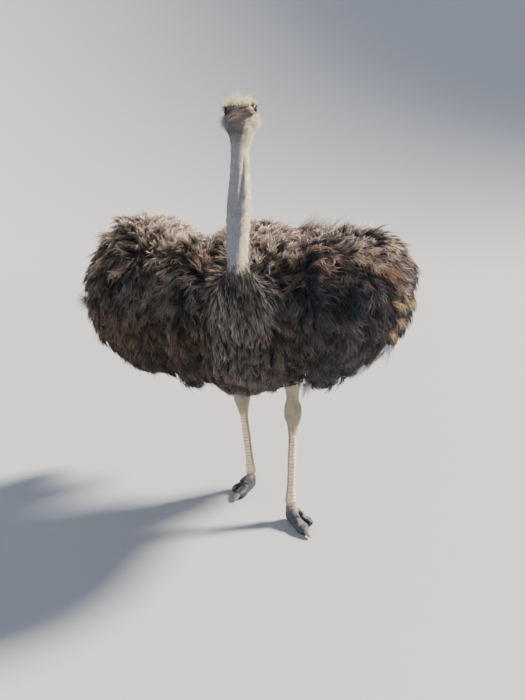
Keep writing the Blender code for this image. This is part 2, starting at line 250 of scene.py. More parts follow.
class Recipe:
    # a node tree filled step by step
    def __init__(self, name, **sockets):
        self.material = bpy.data.materials.new(name)
        self.material.use_nodes = True
        self.tree = self.material.node_tree
        self.shader = self.tree.nodes["Principled BSDF"]
        for socket, value in sockets.items():
            self.shader.inputs[socket.replace("_", " ")].default_value = value

    def node(self, kind, links=(), **settings):
        made = self.tree.nodes.new(kind)
        for key, value in settings.items():
            if key in made.inputs:
                made.inputs[key].default_value = value
            else:
                setattr(made, key, value)
        for socket, source in dict(links).items():
            self.tree.links.new(source, made.inputs[socket])
        return made

    def place(self):
        return self.node("ShaderNodeTexCoord").outputs["Object"]

    def noise(self, scale, detail, stretch=None):
        where = self.place()
        if stretch:
            where = self.node("ShaderNodeMapping", {"Vector": where}, Scale=stretch).outputs[0]
        return self.node("ShaderNodeTexNoise", {"Vector": where}, Scale=scale, Detail=detail).outputs["Fac"]

    def ranged(self, source, low, high):
        made = self.node("ShaderNodeMapRange", {"Value": source})
        made.inputs["To Min"].default_value = low
        made.inputs["To Max"].default_value = high
        return made.outputs[0]

    def into(self, socket, source):
        self.tree.links.new(source, self.shader.inputs[socket])

    def mottled(self, *grains):
        # the tint stored on the mesh, made lighter and darker by each grain in turn
        colour = self.node("ShaderNodeAttribute", attribute_name="tint").outputs["Color"]
        for grain, low, high in grains:
            made = self.node("ShaderNodeVectorMath", operation="SCALE")
            self.tree.links.new(colour, made.inputs[0])
            self.tree.links.new(self.ranged(grain, low, high), made.inputs["Scale"])
            colour = made.outputs[0]
        self.into("Base Color", colour)

    def worn(self, grain, low, high):
        self.into("Roughness", self.ranged(grain, low, high))

    def bumped(self, source, strength, distance):
        made = self.node("ShaderNodeBump", {"Height": source}, Strength=strength, Distance=distance)
        self.into("Normal", made.outputs[0])


# camera, floor and lights

viewpoint = {
    "place": (0.5715, -2.4005, 1.5),
    "turnDegrees": 12.0,
    "dropDegrees": 15.9,
    "lens": 27.05,
}
studio = {
    "floorRadius": 8.0,
    "wallRadius": 26.0,
    "wallHeight": 14.0,
    "floorColour": paint(182, 185, 190),
    "skyColour": paint(178, 204, 246),
    "skyStrength": 0.44,
    # each lamp: the side it stands on and its height in degrees, how soft, how strong, its tint
    "lamps": {
        "rear_key": (124.0, 37.0, 9.0, 13.0, (1.0, 0.90, 0.76)),
        "front_fill": (-25.0, 35.0, 60.0, 0.15, (0.86, 0.93, 1.0)),
    },
}


def makeCamera(settings):
    data = bpy.data.cameras.new("camera")
    data.sensor_width = 36.0
    data.lens = settings["lens"]
    data.clip_start, data.clip_end = 0.05, 200.0
    obj = linked("camera", data)
    obj.location = settings["place"]
    obj.rotation_euler = (radians(90 - settings["dropDegrees"]), 0.0, radians(settings["turnDegrees"]))
    bpy.context.scene.camera = obj


def makeStudio(settings):
    world = bpy.data.worlds.new("studio")
    world.use_nodes = True
    sky = world.node_tree.nodes["Background"]
    sky.inputs["Color"].default_value = (*settings["skyColour"], 1.0)
    sky.inputs["Strength"].default_value = settings["skyStrength"]
    bpy.context.scene.world = world
    for name, (turn, height, softness, strength, tint) in settings["lamps"].items():
        data = bpy.data.lights.new(name, "SUN")
        data.angle = radians(softness)
        data.energy = strength
        data.color = tint
        obj = linked(name, data)
        turn, height = radians(turn), radians(height)
        away = Vector((sin(turn) * cos(height), -cos(turn) * cos(height), sin(height)))
        obj.location = away * 5.0
        obj.rotation_euler = away.to_track_quat("Z", "Y").to_euler()
    # a flat floor that rises gently into a wall all round, open to the lamps
    bowl = bmesh.new()
    sides = 128
    rings = []
    for share in np.linspace(-0.05, 1.0, 43):
        radius = settings["floorRadius"] + (settings["wallRadius"] - settings["floorRadius"]) * share
        level = Matrix.Translation((0, 0, settings["wallHeight"] * max(share, 0.0) ** 2.6))
        rings.append(bmesh.ops.create_circle(bowl, segments=sides, radius=radius, matrix=level)["verts"])
    bowl.faces.new(rings[0])
    bridged(bowl, rings)
    mesh = meshFrom(bowl, "floor")
    for face in mesh.polygons:
        face.use_smooth = len(face.vertices) == 4
    floor = linked("floor", mesh)
    floor.visible_shadow = False
    colour = (*settings["floorColour"], 1.0)
    mesh.materials.append(Recipe("pale_floor", Base_Color=colour, Roughness=0.75).material)


makeCamera(viewpoint)
makeStudio(studio)
print("camera and studio made")


# the bird's finishes

def plumageFinish(name, roughness, sheen):
    finish = Recipe(name, Sheen_Weight=sheen, Sheen_Roughness=0.45, Specular_IOR_Level=0.28)
    finish.mottled((finish.noise(55.0, 2.0), 0.72, 1.28))
    finish.worn(finish.noise(140.0, 2.0), roughness - 0.08, roughness + 0.12)
    return finish.material


def skinFinish():
    finish = Recipe("bird_skin", Specular_IOR_Level=0.4, Subsurface_Weight=0.06, Subsurface_Scale=0.4)
    finish.shader.inputs["Subsurface Radius"].default_value = (0.004, 0.002, 0.0012)
    finish.mottled((finish.noise(24.0, 4.0), 0.80, 1.20), (finish.noise(420.0, 2.0), 0.84, 1.14))
    scales = finish.node("ShaderNodeTexVoronoi", {"Vector": finish.place()}, Scale=230.0)
    finish.bumped(scales.outputs["Distance"], 0.35, 0.0012)
    finish.worn(finish.noise(60.0, 3.0), 0.48, 0.74)
    return finish.material


def hornFinish(name, stretch):
    finish = Recipe(name, Specular_IOR_Level=0.38)
    finish.mottled((finish.noise(120.0, 4.0, stretch), 0.78, 1.2))
    finish.worn(finish.noise(90.0, 3.0), 0.42, 0.68)
    finish.bumped(finish.noise(260.0, 3.0, stretch), 0.5, 0.0010)
    return finish.material


def eyeFinish():
    finish = Recipe("eye_gloss", Roughness=0.10, IOR=1.34, Specular_IOR_Level=0.35)
    finish.mottled((finish.noise(700.0, 3.0), 0.7, 1.3))
    return finish.material


finishes = {
    "brown": plumageFinish("brown_plumes", 0.62, 0.22),
    "pale": plumageFinish("pale_plumes", 0.66, 0.30),
    "down": plumageFinish("grey_down", 0.70, 0.35),
    "crest": plumageFinish("crest_bristles", 0.58, 0.25),
    "skin": skinFinish(),
    "bill": hornFinish("bill_horn", (0.35, 0.35, 1.0)),
    "claw": hornFinish("claw_horn", (1.0, 1.0, 0.4)),
    "eye": eyeFinish(),
}
print("finishes mixed")


def setTint(mesh, colours):
    layer = mesh.attributes.new("tint", "FLOAT_COLOR", "POINT")
    full = np.ones((len(mesh.vertices), 4), np.float32)
    full[:, :3] = np.clip(colours, 0.0, 1.0)
    layer.data.foreach_set("color", full.ravel())


def placed(obj, finish, standsFor):
    obj.data.materials.clear()
    obj.data.materials.append(finishes[finish])
    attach(obj, "root")
    if standsFor:
        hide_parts(*standsFor)
    return obj


# markings, with painted light and shade, shared by the skin and the coat

def plumageTones(points):
    # dark root colour and light tip colour at each place on the body, painted light and shade included
    x, y, z = points[:, 0] - bodyX, points[:, 1], points[:, 2]
    cloud = waves(points, 0.16, 11)
    fine = waves(points, 0.06, 12)
    # painted sunlight: the tops (high) are lighter and tanner, partly sun-bleached plumage and partly
    # painted light
    high = ease(1.12, 1.36, z + 0.05 * cloud)
    left = ease(0.10, 0.34, x)
    middle = ease(0.96, 1.08, z)
    bib = bump(x, -0.01, 0.155) * ease(-0.30, -0.46, y)
    # painted shade: the bluish-grey darks and greyer lights above the belly (middle) and on the bird's left
    # (left) stand for skylight in shade
    dark = mix(paint(32, 25, 22), paint(26, 27, 30), middle)
    dark = layered(dark, ((42, 32, 28), high), ((17, 25, 38), left * 0.85), ((22, 23, 30), bib * 0.85))
    sunny = mix(paint(230, 206, 191), paint(212, 186, 173), left)
    light = layered(mix(paint(104, 86, 71), paint(100, 95, 90), middle), ((92, 82, 80), left))
    light = mix(light, sunny, high)
    low = ease(1.0, 0.75, z)
    light = mix(light, mix(paint(90, 72, 56), paint(70, 66, 66), left), low * 0.8)
    rust = bump(z, 1.28, 0.06) * ease(-0.15, -0.40, y) * bump(np.abs(x), 0.25, 0.12)
    arc, _ = toLine(points, [(0.345, -0.340, 1.335), (0.405, -0.345, 1.325), (0.440, -0.352, 1.300)])
    light = layered(
        light,
        ((132, 129, 126), bib * 0.8),
        ((170, 120, 88), rust * 0.5),
        ((180, 126, 92), bump(arc, 0.0, 0.032) * 0.7),
        # painted highlight: the top edge of the bird's left wing, lit from behind
        ((242, 224, 215), left * ease(1.345, 1.385, z) * 0.7),
    )
    warm = 0.45 + waves(points, 0.26, 13, 2)[:, None] * 0.50
    light = light * (1.0 + warm * (0.08, 0.0, -0.08))
    shade = 1.0 + 0.22 * cloud + 0.14 * fine + 0.16 * bump(z, 1.03, 0.15)
    # painted shade: darker towards the belly's underside
    shade *= 1.0 - 0.28 * ease(0.90, 0.76, z)
    # painted shade: a band on the front, beside the bib on the bird's left
    shade *= 1.0 - 0.26 * bump(x, 0.165, 0.10) * ease(-0.22, -0.38, y) * bump(z, 1.20, 0.22)
    return dark * shade[:, None], light * shade[:, None]


def paleTones(points):
    shade = 1.0 + 0.15 * waves(points, 0.10, 21)[:, None]
    return paint(112, 98, 84) * shade, paint(214, 204, 190) * shade


# the body's outer surface, to the tips of the plumage, and the skin under it

bodySkinPlan = {
    "outerVoxel": 0.010,
    "skinVoxel": 0.014,
    "coatDepth": 0.052,
    "thinShare": 0.30,  # of the thickness, where the body is thin
}
plumageNodes = [
    "trunk",
    "neck_base",
    "shoulder_left",
    "shoulder_right",
    "wing_left",
    "wing_right",
    "plumes_left",
    "plumes_right",
    "tail",
]
paleNodes = ("tail", "plumes_left", "plumes_right")
neckFoot = np.array((0.0865, -0.5548, 1.262))

outer = remeshed(joinedSolids("outer", plumageNodes), bodySkinPlan["outerVoxel"], 4)
outerPoints, outerNormals = pointsOf(outer.data), normalsOf(outer.data)
outerSurface = surfaceOf(outer.data)


def localThickness(points, normals):
    # how far it is from each place through the body to its other side
    inside = 0.004  # where each look starts, under the surface
    unknown = 0.02
    found = []
    for point, normal in zip(points.tolist(), normals.tolist()):
        inward = -Vector(normal)
        hit = outerSurface["tree"].ray_cast(Vector(point) + inward * inside, inward)
        found.append(hit[3] if hit[0] is not None else unknown)
    return np.array(found)


def thinnedByNeck(points, depth):
    # the coat gets shallow towards the neck's foot
    return depth * (0.12 + 0.88 * ease(0.03, 0.20, farFrom(points, neckFoot)))


def makeBodySkin(plan):
    depth = np.minimum(plan["coatDepth"], plan["thinShare"] * localThickness(outerPoints, outerNormals))
    depth = thinnedByNeck(outerPoints, depth)
    mesh = outer.data.copy()
    movePoints(mesh, outerPoints - outerNormals * depth[:, None])
    return remeshed(linked("body_skin", mesh), plan["skinVoxel"], 6)


bodySkin = makeBodySkin(bodySkinPlan)
print("body surface and skin,", len(bodySkin.data.polygons), "faces")


# head and neck skin, with lids, brow, ear, mouth corners and folds

head = {
    "eyeMiddle": (0.0995, -0.5385, 1.788),
    "yawDegrees": 27.5,
    "pitchDegrees": -1.0,
    "rollDegrees": -6.0,
    "eyeSpread": 0.0355,
    "eyeball": 0.0208,
    "opening": (0.0162, 0.0108),  # half width along the bill, half height
    "corners": 1.65,  # 2 is a plain oval, less draws the lids' corners out
    "gaze": (1.0, -0.24, 0.03),
    "lidHeight": 0.0229,
    "voxel": 0.0024,
    "downDepth": 0.0045,
    # rods that fill the skin out from within: points in the head's frame, and the radius at each
    "rods": [
        ([(0.003, 0.018, -0.010), (-0.002, 0.016, -0.045), (-0.009, 0.012, -0.082)], (0.036, 0.038, 0.036)),
        (
            [(-0.002, 0.006, -0.050), (-0.007, 0.009, -0.078), (-0.0125, 0.010, -0.110)],
            (0.045, 0.043, 0.0345),
        ),
        ([(0.0, 0.036, -0.002), (0.0, 0.016, 0.004), (0.0, -0.020, 0.002)], (0.026, 0.030, 0.026)),
    ],
    # the same for the neck's foot, in the bird's own frame
    "footRod": (
        [(0.0865, -0.545, 1.19), (0.0865, -0.555, 1.25), (0.0868, -0.5555, 1.31)],
        (0.036, 0.040, 0.040),
    ),
    # brow and cheek, on both sides
    "sideRods": [
        (
            [
                (0.036, -0.040, 0.002),
                (0.043, -0.026, 0.011),
                (0.0475, -0.008, 0.0165),
                (0.046, 0.014, 0.018),
                (0.038, 0.030, 0.014),
            ],
            (0.003, 0.0055, 0.0065, 0.006, 0.004),
        ),
        ([(0.030, -0.034, -0.022), (0.036, -0.012, -0.028), (0.038, 0.012, -0.036)], (0.006, 0.009, 0.010)),
    ],
}
headFrame = (
    Matrix.Translation(head["eyeMiddle"])
    @ Matrix.Rotation(radians(head["yawDegrees"]), 4, "Z")
    @ Matrix.Rotation(radians(head["pitchDegrees"]), 4, "X")
    @ Matrix.Rotation(radians(head["rollDegrees"]), 4, "Y")
)
toHead = np.array(headFrame.inverted())
fromHead = np.array(headFrame)


def inHead(points):
    return points @ toHead[:3, :3].T + toHead[:3, 3]


def outOfHead(points):
    return points @ fromHead[:3, :3].T + fromHead[:3, 3]


def turnedToHead(directions):
    return directions @ toHead[:3, :3].T


def turnedFromHead(directions):
    return directions @ fromHead[:3, :3].T


def rodMesh(path, radii, hint):
    # a closed tapered rod through points, for ridges that the skin flows over
    sides = 12
    path, radii = np.array(path, float), np.array(radii, float)
    ahead = unit(np.gradient(path, axis=0))
    side = unit(np.cross(ahead, hint))
    over = np.cross(side, ahead)
    rod = bmesh.new()
    rings = []
    for i in range(len(path)):
        turns = [2 * pi * j / sides for j in range(sides)]
        spots = [path[i] + radii[i] * (side[i] * cos(turn) + over[i] * sin(turn)) for turn in turns]
        rings.append([rod.verts.new(spot) for spot in spots])
    bridged(rod, rings)
    rod.faces.new(rings[0])
    rod.faces.new(rings[-1])
    bmesh.ops.recalc_face_normals(rod, faces=rod.faces)
    return meshFrom(rod, "rod")


def toLine(points, path):
    # distance to a line of points, and the share along it
    path = np.array(path, float)
    best = np.full(len(points), 1e9)
    share = np.zeros(len(points))
    for i in range(len(path) - 1):
        step = path[i + 1] - path[i]
        t = np.clip(((points - path[i]) @ step) / (step @ step), 0.0, 1.0)
        away = np.linalg.norm(points - path[i] - t[:, None] * step, axis=1)
        nearer = away < best
        best = np.where(nearer, away, best)
        share = np.where(nearer, (i + t) / (len(path) - 1), share)
    return best, share


def eyeAxes(sign):
    # where the eye's middle is and looks, and the way ahead and up along its lids
    gaze = unit(np.array(head["gaze"]) * (sign, 1.0, 1.0))
    ahead = unit(np.array((0.0, -1.0, 0.0)) - gaze * (gaze @ (0.0, -1.0, 0.0)))
    above = np.cross(gaze, ahead) * sign
    above *= np.sign(above[2])
    return np.array((sign * head["eyeSpread"], 0.0, 0.0)), gaze, ahead, above


def lidRing(along, rise):
    # 1 at the edge of the lids, more outside it
    width, height = head["opening"]
    shape = head["corners"]
    return (np.abs(along / width) ** shape + np.abs(rise / height) ** shape) ** (1.0 / shape)


def lidsAt(local, sign):
    # the ring round that eye's opening that each place is on, and how far out of the socket and from the
    # eye's middle it is
    middle, gaze, ahead, above = eyeAxes(sign)
    away = local - middle
    return lidRing(away @ ahead, away @ above), away @ gaze, np.linalg.norm(away, axis=1)


# lines of the face as seen from the side, as (along, up) in the head's frame
mouthLine = [(-0.054, -0.0182), (-0.038, -0.0172), (-0.025, -0.0188), (-0.013, -0.0225), (-0.004, -0.0270)]
browLine = [(-0.034, 0.004), (-0.012, 0.0200), (0.016, 0.0210)]
earPlace = np.array((0.040, -0.016))


def headFolds(local, normals):
    # moves the skin over the eyeballs, opens the lids and draws the folds of the face
    moved = local.copy()
    facing = turnedToHead(normals)
    for sign in (1.0, -1.0):
        ring, out, reach = lidsAt(moved, sign)
        middle, _, _, above = eyeAxes(sign)
        away = moved - middle
        near = (out > 0.004) & (reach < 0.042)
        lid = head["lidHeight"] + 0.0007 * bump(ring, 1.12, 0.12)
        lid += 0.0012 * (away @ above > 0) * bump(ring, 1.22, 0.20)
        lid -= 0.0018 * bump(ring, 1.66, 0.10) - 0.0006 * bump(ring, 1.95, 0.14)
        hidden = head["eyeball"] - 0.0030
        target = hidden + (lid - hidden) * ease(0.90, 1.04, ring)
        keep = ease(1.45, 2.05, ring)
        target = target * (1 - keep) + np.maximum(reach, 0.021) * keep
        moved = np.where(near[:, None], middle + away * (target / np.maximum(reach, 1e-6))[:, None], moved)
        # creases round the eye, mouth corner and cheek
        toMouth, along = toLine(moved[:, 1:], mouthLine)
        groove = -0.0034 * bump(toMouth, 0.0, 0.0018) * ease(1.0, 0.75, along)
        lips = 0.0014 * bump(toMouth, 0.0044, 0.0020) * ease(1.0, 0.7, along)
        toEar = farFrom(moved[:, 1:], earPlace)
        ear = -0.0065 * bump(toEar, 0.0, 0.0042) + 0.0016 * bump(toEar, 0.0085, 0.0028)
        toBrow, _ = toLine(moved[:, 1:], browLine)
        under = -0.0012 * bump(toBrow, 0.0065, 0.0022)
        moved += facing * ((groove + lips + ear + under) * ease(0.012, 0.022, moved[:, 0] * sign))[:, None]
    wrinkle = 0.00055 * waves(local * (1.0, 1.0, 2.2), 0.011, 31, 2)
    return outOfHead(moved + facing * wrinkle[:, None])


def offNeck(points):
    # how far each place lies to the left of the neck's middle
    height = (1.26, 1.36, 1.50, 1.62, 1.71)
    return points[:, 0] - np.interp(points[:, 2], height, (0.0865, 0.0875, 0.0935, 0.0945, 0.0945))


def neckCleft(points, normals):
    # a short cleft beside the windpipe, wider and nearer the middle as it goes down
    height, steps = points[:, 2], (1.48, 1.54, 1.60, 1.65)
    place = np.interp(height, steps, (0.0110, 0.0150, 0.0190, 0.0215))
    width = np.interp(height, steps, (0.0100, 0.0085, 0.0055, 0.0028))
    front = (normals[:, 1] < -0.2) * ease(1.45, 1.53, height) * ease(1.655, 1.625, height)
    return bump(offNeck(points), place, width) * front


def neckFolds(points, normals):
    # the windpipe down the front, a cleft and faint rings
    height = points[:, 2]
    turn = offNeck(points)
    front = normals[:, 1] < -0.2
    groove = -0.0060 * neckCleft(points, normals)
    pipe = 0.0016 * bump(turn, 0.0, 0.011) * front * ease(1.74, 1.66, height)
    rings = 0.0005 * np.sin(height * 2 * pi / 0.013 + 3.0 * waves(points, 0.09, 41, 1))
    body = ease(1.76, 1.70, height)
    return points + normals * ((groove + pipe + rings) * body + 0.0008 * waves(points, 0.03, 42, 2))[:, None]


def addRods(obj, rods, hint=(0.13, 0.21, 1.0)):
    # rods are (line, radii), joined to the mesh before it is remeshed
    whole = bmesh.new()
    whole.from_mesh(obj.data)
    for line, radii in rods:
        rod = rodMesh(line, radii, hint)
        whole.from_mesh(rod)
        bpy.data.meshes.remove(rod)
    whole.to_mesh(obj.data)
    whole.free()


def billRim():
    # a soft rim where the bill leaves the face
    line = []
    for turn in np.linspace(0.0, 2 * pi, 33):
        tall = 0.0158 if sin(turn) > 0 else 0.0138
        line.append((0.0290 * cos(turn), -0.0510 - 0.0080 * sin(turn) ** 2, -0.0186 + tall * sin(turn)))
    return outOfHead(np.array(line)), np.full(len(line), 0.0034)


def makeHeadSkin():
    # the neck's lengths and the head first become one surface, which then moves in by the down's depth
    names = ("neck_lower", "neck_middle", "neck_upper", "head", "eye_left", "eye_right")
    obj = joinedSolids("head_skin", names)
    stem, throat, crown = [(outOfHead(np.array(line)), radii) for line, radii in head["rods"]]
    addRods(obj, [stem, throat, head["footRod"], crown])
    remeshed(obj, head["voxel"] * 1.15, 4)
    points = pointsOf(obj.data)
    bare = ease(-0.028, -0.050, inHead(points)[:, 1]) * (points[:, 2] > 1.73)
    depth = head["downDepth"] * (1.0 - 0.8 * bare)
    movePoints(obj.data, points - normalsOf(obj.data) * depth[:, None])
    obj.data.materials.clear()
    rods = []
    for sign in (1.0, -1.0):
        for line, radii in head["sideRods"]:
            rods.append((outOfHead(np.array(line) * (sign, 1.0, 1.0)), radii))
    addRods(obj, rods)
    addRods(obj, [billRim()], hint=tuple(fromHead[:3, 1]))
    remeshed(obj, head["voxel"], 4)
    # finer skin round the eyes and the mouth
    fine = bmesh.new()
    fine.from_mesh(obj.data)
    edges = set()
    for face in fine.faces:
        place = headFrame.inverted() @ face.calc_center_median()
        if abs(place.x) > 0.020 and -0.040 < place.y < 0.028 and -0.032 < place.z < 0.026:
            edges.update(face.edges)
    bmesh.ops.subdivide_edges(fine, edges=list(edges), cuts=1, use_grid_fill=True, smooth=0.0)
    bmesh.ops.triangulate(fine, faces=[f for f in fine.faces if len(f.verts) > 4])
    fine.to_mesh(obj.data)
    fine.free()
    points, normals = pointsOf(obj.data), normalsOf(obj.data)
    points = neckFolds(points, normals)
    local = inHead(points)
    upper = points[:, 2] > 1.70
    points[upper] = headFolds(local[upper], normals[upper])
    movePoints(obj.data, points)
    soften = obj.modifiers.new("soften", "SMOOTH")
    soften.factor = 0.35
    soften.iterations = 1
    return settled(obj)


headSkin = makeHeadSkin()
print("head and neck skin,", len(headSkin.data.polygons), "faces")


# legs and feet, with scutes, pads and creases

legs = {
    "voxel": 0.0025,
    "scuteStep": 0.0172,
    "toeStep": 0.0088,
    "toeReach": (0.150, 0.118),  # where the big and the small toe's scutes end
    "left": {
        "thigh": [
            (0.2025, -0.150, 0.96),
            (0.2195, -0.1325, 0.80),
            (0.2240, -0.100, 0.67),
            (0.2250, -0.080, 0.58),
        ],
        "ankle": (0.2255, -0.0665, 0.512),
        "joint": (0.2375, -0.1805, 0.072),
        "face": 30.0,
        "toes": (41.0, 77.0),
        "slim": 0.24,  # how much the leg narrows just above and below its ankle
    },
    "right": {
        "thigh": [
            (-0.0475, -0.03, 0.96),
            (-0.0605, 0.0075, 0.80),
            (-0.0670, 0.047, 0.67),
            (-0.0675, 0.072, 0.58),
        ],
        "ankle": (-0.0675, 0.0855, 0.520),
        "joint": (-0.0155, 0.0795, 0.072),
        "face": -16.0,
        "toes": (-18.0, -50.0),
        "slim": 0.04,
    },
}


def heading(degrees):
    return np.array((sin(radians(degrees)), -cos(radians(degrees)), 0.0))


def alongToe(points, side, degrees):
    # how far out from the toe joint each place is, and how far aside
    ahead = heading(degrees)
    away = points - np.array(legs[side]["joint"]) * (1.0, 1.0, 0.0)
    return away @ ahead, away @ np.cross(ahead, up)


def gapsAt(phase, width):
    # 1 in the gaps of a row that repeats with each whole number
    return bump(phase, np.round(phase), width)


def legRelief(points, normals, side):
    # the height of the scales above the skin, the gaps' darkness with painted shade in creases and the toes'
    # cleft, and the share that is scute
    leg = legs[side]
    ankle = np.array(leg["ankle"])
    shaft = np.array(leg["joint"]) - ankle
    length = np.linalg.norm(shaft)
    shaft = shaft / length
    along = (points - ankle) @ shaft
    across = points - ankle - along[:, None] * shaft
    front = heading(leg["face"])
    turn = np.abs(np.arctan2(across @ np.cross(shaft, front), across @ front))
    shin = ease(0.075, 0.115, along) * ease(length + 0.012, length - 0.010, along)
    frontal = ease(1.12, 0.98, turn) * shin
    wobble = 0.10 * waves(points, 0.05, 51, 2)
    phase = along / legs["scuteStep"] + wobble + 0.10 * np.cos(turn * 2.2)
    gap = np.abs(phase - np.round(phase))
    cut = gapsAt(phase, 0.085)
    height = frontal * (0.0009 - 0.0019 * cut + 0.0005 * np.sin(np.pi * np.minimum(gap * 2, 1)))
    dark = frontal * cut
    edge = bump(turn, 1.10, 0.10) * shin
    height -= 0.0013 * edge
    dark = np.maximum(dark, 0.7 * edge)
    # small round scales behind and round the ankle
    pebbled = waves(points, 0.0085, 52, 1)
    rear = (1 - frontal) * ease(-0.16, -0.05, along) * ease(0.02, 0.05, points[:, 2])
    height += 0.00045 * pebbled * rear
    creases = np.sin(points[:, 2] * 2 * pi / 0.0125 + 2.4 * waves(points, 0.05, 53, 2))
    knee = bump(along, 0.0, 0.06)
    height += 0.0008 * creases * knee
    # painted shade in the troughs of the ankle's creases
    dark = np.maximum(dark, 0.35 * knee * ease(0.2, 1.0, -creases))
    # toes: cross scutes on top, creased sides
    foot = ease(0.075, 0.055, points[:, 2])
    scute = np.zeros(len(points))
    for degrees, reach in zip(leg["toes"], legs["toeReach"]):
        out, aside = alongToe(points, side, degrees)
        on = ease(0.034, 0.024, np.abs(aside)) * ease(-0.01, 0.02, out) * ease(reach + 0.03, reach, out)
        cut = gapsAt(out / legs["toeStep"] + 0.12 * waves(points, 0.03, 54, 1), 0.12)
        top = ease(0.15, 0.6, normals[:, 2]) * on * foot
        height += top * (0.0007 - 0.0016 * cut)
        dark = np.maximum(dark, top * cut)
        scute = np.maximum(scute, top)
    # the cleft between the toes, darkened with painted shade
    out, aside = alongToe(points, side, 0.5 * sum(leg["toes"]))
    cleft = bump(aside, 0.0, 0.0085) * ease(0.006, 0.026, out) * ease(0.115, 0.095, out) * foot
    height -= 0.0135 * cleft
    dark = np.maximum(dark, 0.9 * cleft)
    sole = foot * ease(0.010, 0.022, points[:, 2]) * ease(0.5, 0.1, normals[:, 2])
    height += 0.0008 * waves(points * (1.0, 1.0, 1.8), 0.012, 55, 2) * sole
    return height * ease(0.0012, 0.006, points[:, 2]), dark, np.maximum(scute, frontal)


def makeLegSkin(side):
    names = [stem + side for stem in ("thigh_", "shank_", "big_toe_", "small_toe_")]
    obj = joinedSolids("leg_skin_" + side, names, 0.0003)
    leg = legs[side]
    joint = np.array(leg["joint"])
    ball = joint + (0.0, 0.0, -0.014)
    rods = [(leg["thigh"], (0.095, 0.078, 0.046, 0.036))]
    for degrees, radius in zip(leg["toes"], (0.0255, 0.0185)):
        ahead = heading(degrees)
        path = [joint + (0, 0, 0.045), joint, ball + ahead * 0.030, ball + ahead * 0.062 - (0, 0, 0.016)]
        rods.append((path, (0.019, radius, radius, radius * 0.9)))
    addRods(obj, rods)
    remeshed(obj, legs["voxel"], 5)
    points, normals = pointsOf(obj.data), normalsOf(obj.data)
    line = np.array([leg["joint"], leg["ankle"], *leg["thigh"][::-1]])
    axis = np.stack([np.interp(points[:, 2], line[:, 2], line[:, n]) for n in (0, 1)], axis=1)
    narrow = leg["slim"] * (bump(points[:, 2], 0.622, 0.055) + 0.6 * bump(points[:, 2], 0.445, 0.022))
    points[:, :2] += (axis - points[:, :2]) * narrow[:, None]
    height, _, _ = legRelief(points, normals, side)
    points += normals * height[:, None]
    points[:, 2] = np.maximum(points[:, 2], 0.0)
    movePoints(obj.data, points)
    return obj


legSkins = [makeLegSkin(side) for side in ("left", "right")]
print("leg skins,", [len(obj.data.polygons) for obj in legSkins], "faces")


# one skin from the four, and its colours

def makeSkin():
    skin = linked("skin", bodySkin.data.copy())
    for other in (headSkin, *legSkins):
        union = skin.modifiers.new("union_" + other.name, "BOOLEAN")
        union.operation = "UNION"
        union.solver = "MANIFOLD"
        union.object = other
    settled(skin)
    for other in (bodySkin, headSkin, *legSkins):
        bpy.data.objects.remove(other)
    return skin


def paintedSunlitShare(points, normals):
    # painted light and shade: the side of the neck and head turned to the rear lamp (the back and the bird's
    # left) is painted paler and creamier, the front keeps a blue-grey painted shade
    heights = (1.27, 1.34, 1.42, 1.57, 1.63, 1.70, 1.76)
    wider = np.interp(points[:, 2], heights, (0.34, 0.16, 0.0, 0.0, 0.34, 0.22, 0.02))
    return ease(-0.24, 0.30, normals @ (0.75, 0.66, 0.0) + wider)


def faceTones(colour, local, face):
    # the rims of the lids, the brow, the mouth and the ear, on each side; the brow line is partly dark
    # bristles and partly painted shade under the brow ridge, and the ear opening's dark is painted shade
    for sign in (1.0, -1.0):
        mirrored = local * (sign, 1.0, 1.0)
        ring, out, reach = lidsAt(local, sign)
        lids = (out > 0) & (reach < 0.05)
        onSide = ease(0.010, 0.020, mirrored[:, 0])
        toBrow, _ = toLine(mirrored[:, 1:], browLine)
        toMouth, along = toLine(mirrored[:, 1:], mouthLine)
        mouth = onSide * face * ease(1.0, 0.85, along)
        toEar = farFrom(mirrored[:, 1:], earPlace)
        colour = layered(
            colour,
            ((70, 70, 78), bump(ring, 1.55, 0.35) * lids * 0.7),
            ((34, 29, 29), ease(1.42, 1.12, ring) * lids * 0.95),
            # brow: dark bristles with painted shade under the ridge
            ((58, 54, 56), bump(toBrow, 0.0, 0.007) * onSide * face * 0.8),
            ((136, 112, 102), bump(toMouth, 0.004, 0.0055) * mouth * 0.8),
            ((54, 40, 38), bump(toMouth, 0.0, 0.0018) * mouth),
            # painted shade in the ear opening
            ((52, 40, 38), bump(toEar, 0.0, 0.005) * onSide * face),
        )
    return colour


def legTones(points, normals, side):
    height = points[:, 2]
    # dark joints between the scales, with painted shade in the creases and the toes' cleft
    _, gapsAndCreaseShade, scute = legRelief(points, normals, side)
    gapsAndCreaseShade = np.clip(gapsAndCreaseShade, 0, 1)

    def cloudy(size, seed):
        return 0.5 + 0.5 * waves(points, size, seed, 2)

    plate = mix(paint(238, 218, 194), paint(222, 196, 168), cloudy(0.03, 63))
    # painted highlight: the upward faces of the toes are paler
    paintedTopHighlight = ease(0.45, 0.85, normals[:, 2]) * ease(-0.1, 0.5, waves(points, 0.045, 65, 2)) * 0.5
    foot = layered(
        mix(paint(40, 47, 57), paint(74, 80, 88), cloudy(0.022, 64)),
        ((150, 156, 166), paintedTopHighlight),
        ((36, 37, 40), ease(0.026, 0.006, height)),
        ((20, 20, 24), gapsAndCreaseShade**2 * 0.8),
    )
    tone = mix(paint(148, 140, 119), paint(134, 127, 108), cloudy(0.05, 62))
    tone = layered(tone, ((150, 138, 118), ease(0.40, 0.30, height)))
    tone = mix(tone, plate, scute * ease(0.06, 0.12, height))
    tone = mix(tone, foot, ease(0.115, 0.060, height))
    return layered(tone, ((104, 78, 58), gapsAndCreaseShade * 0.75))


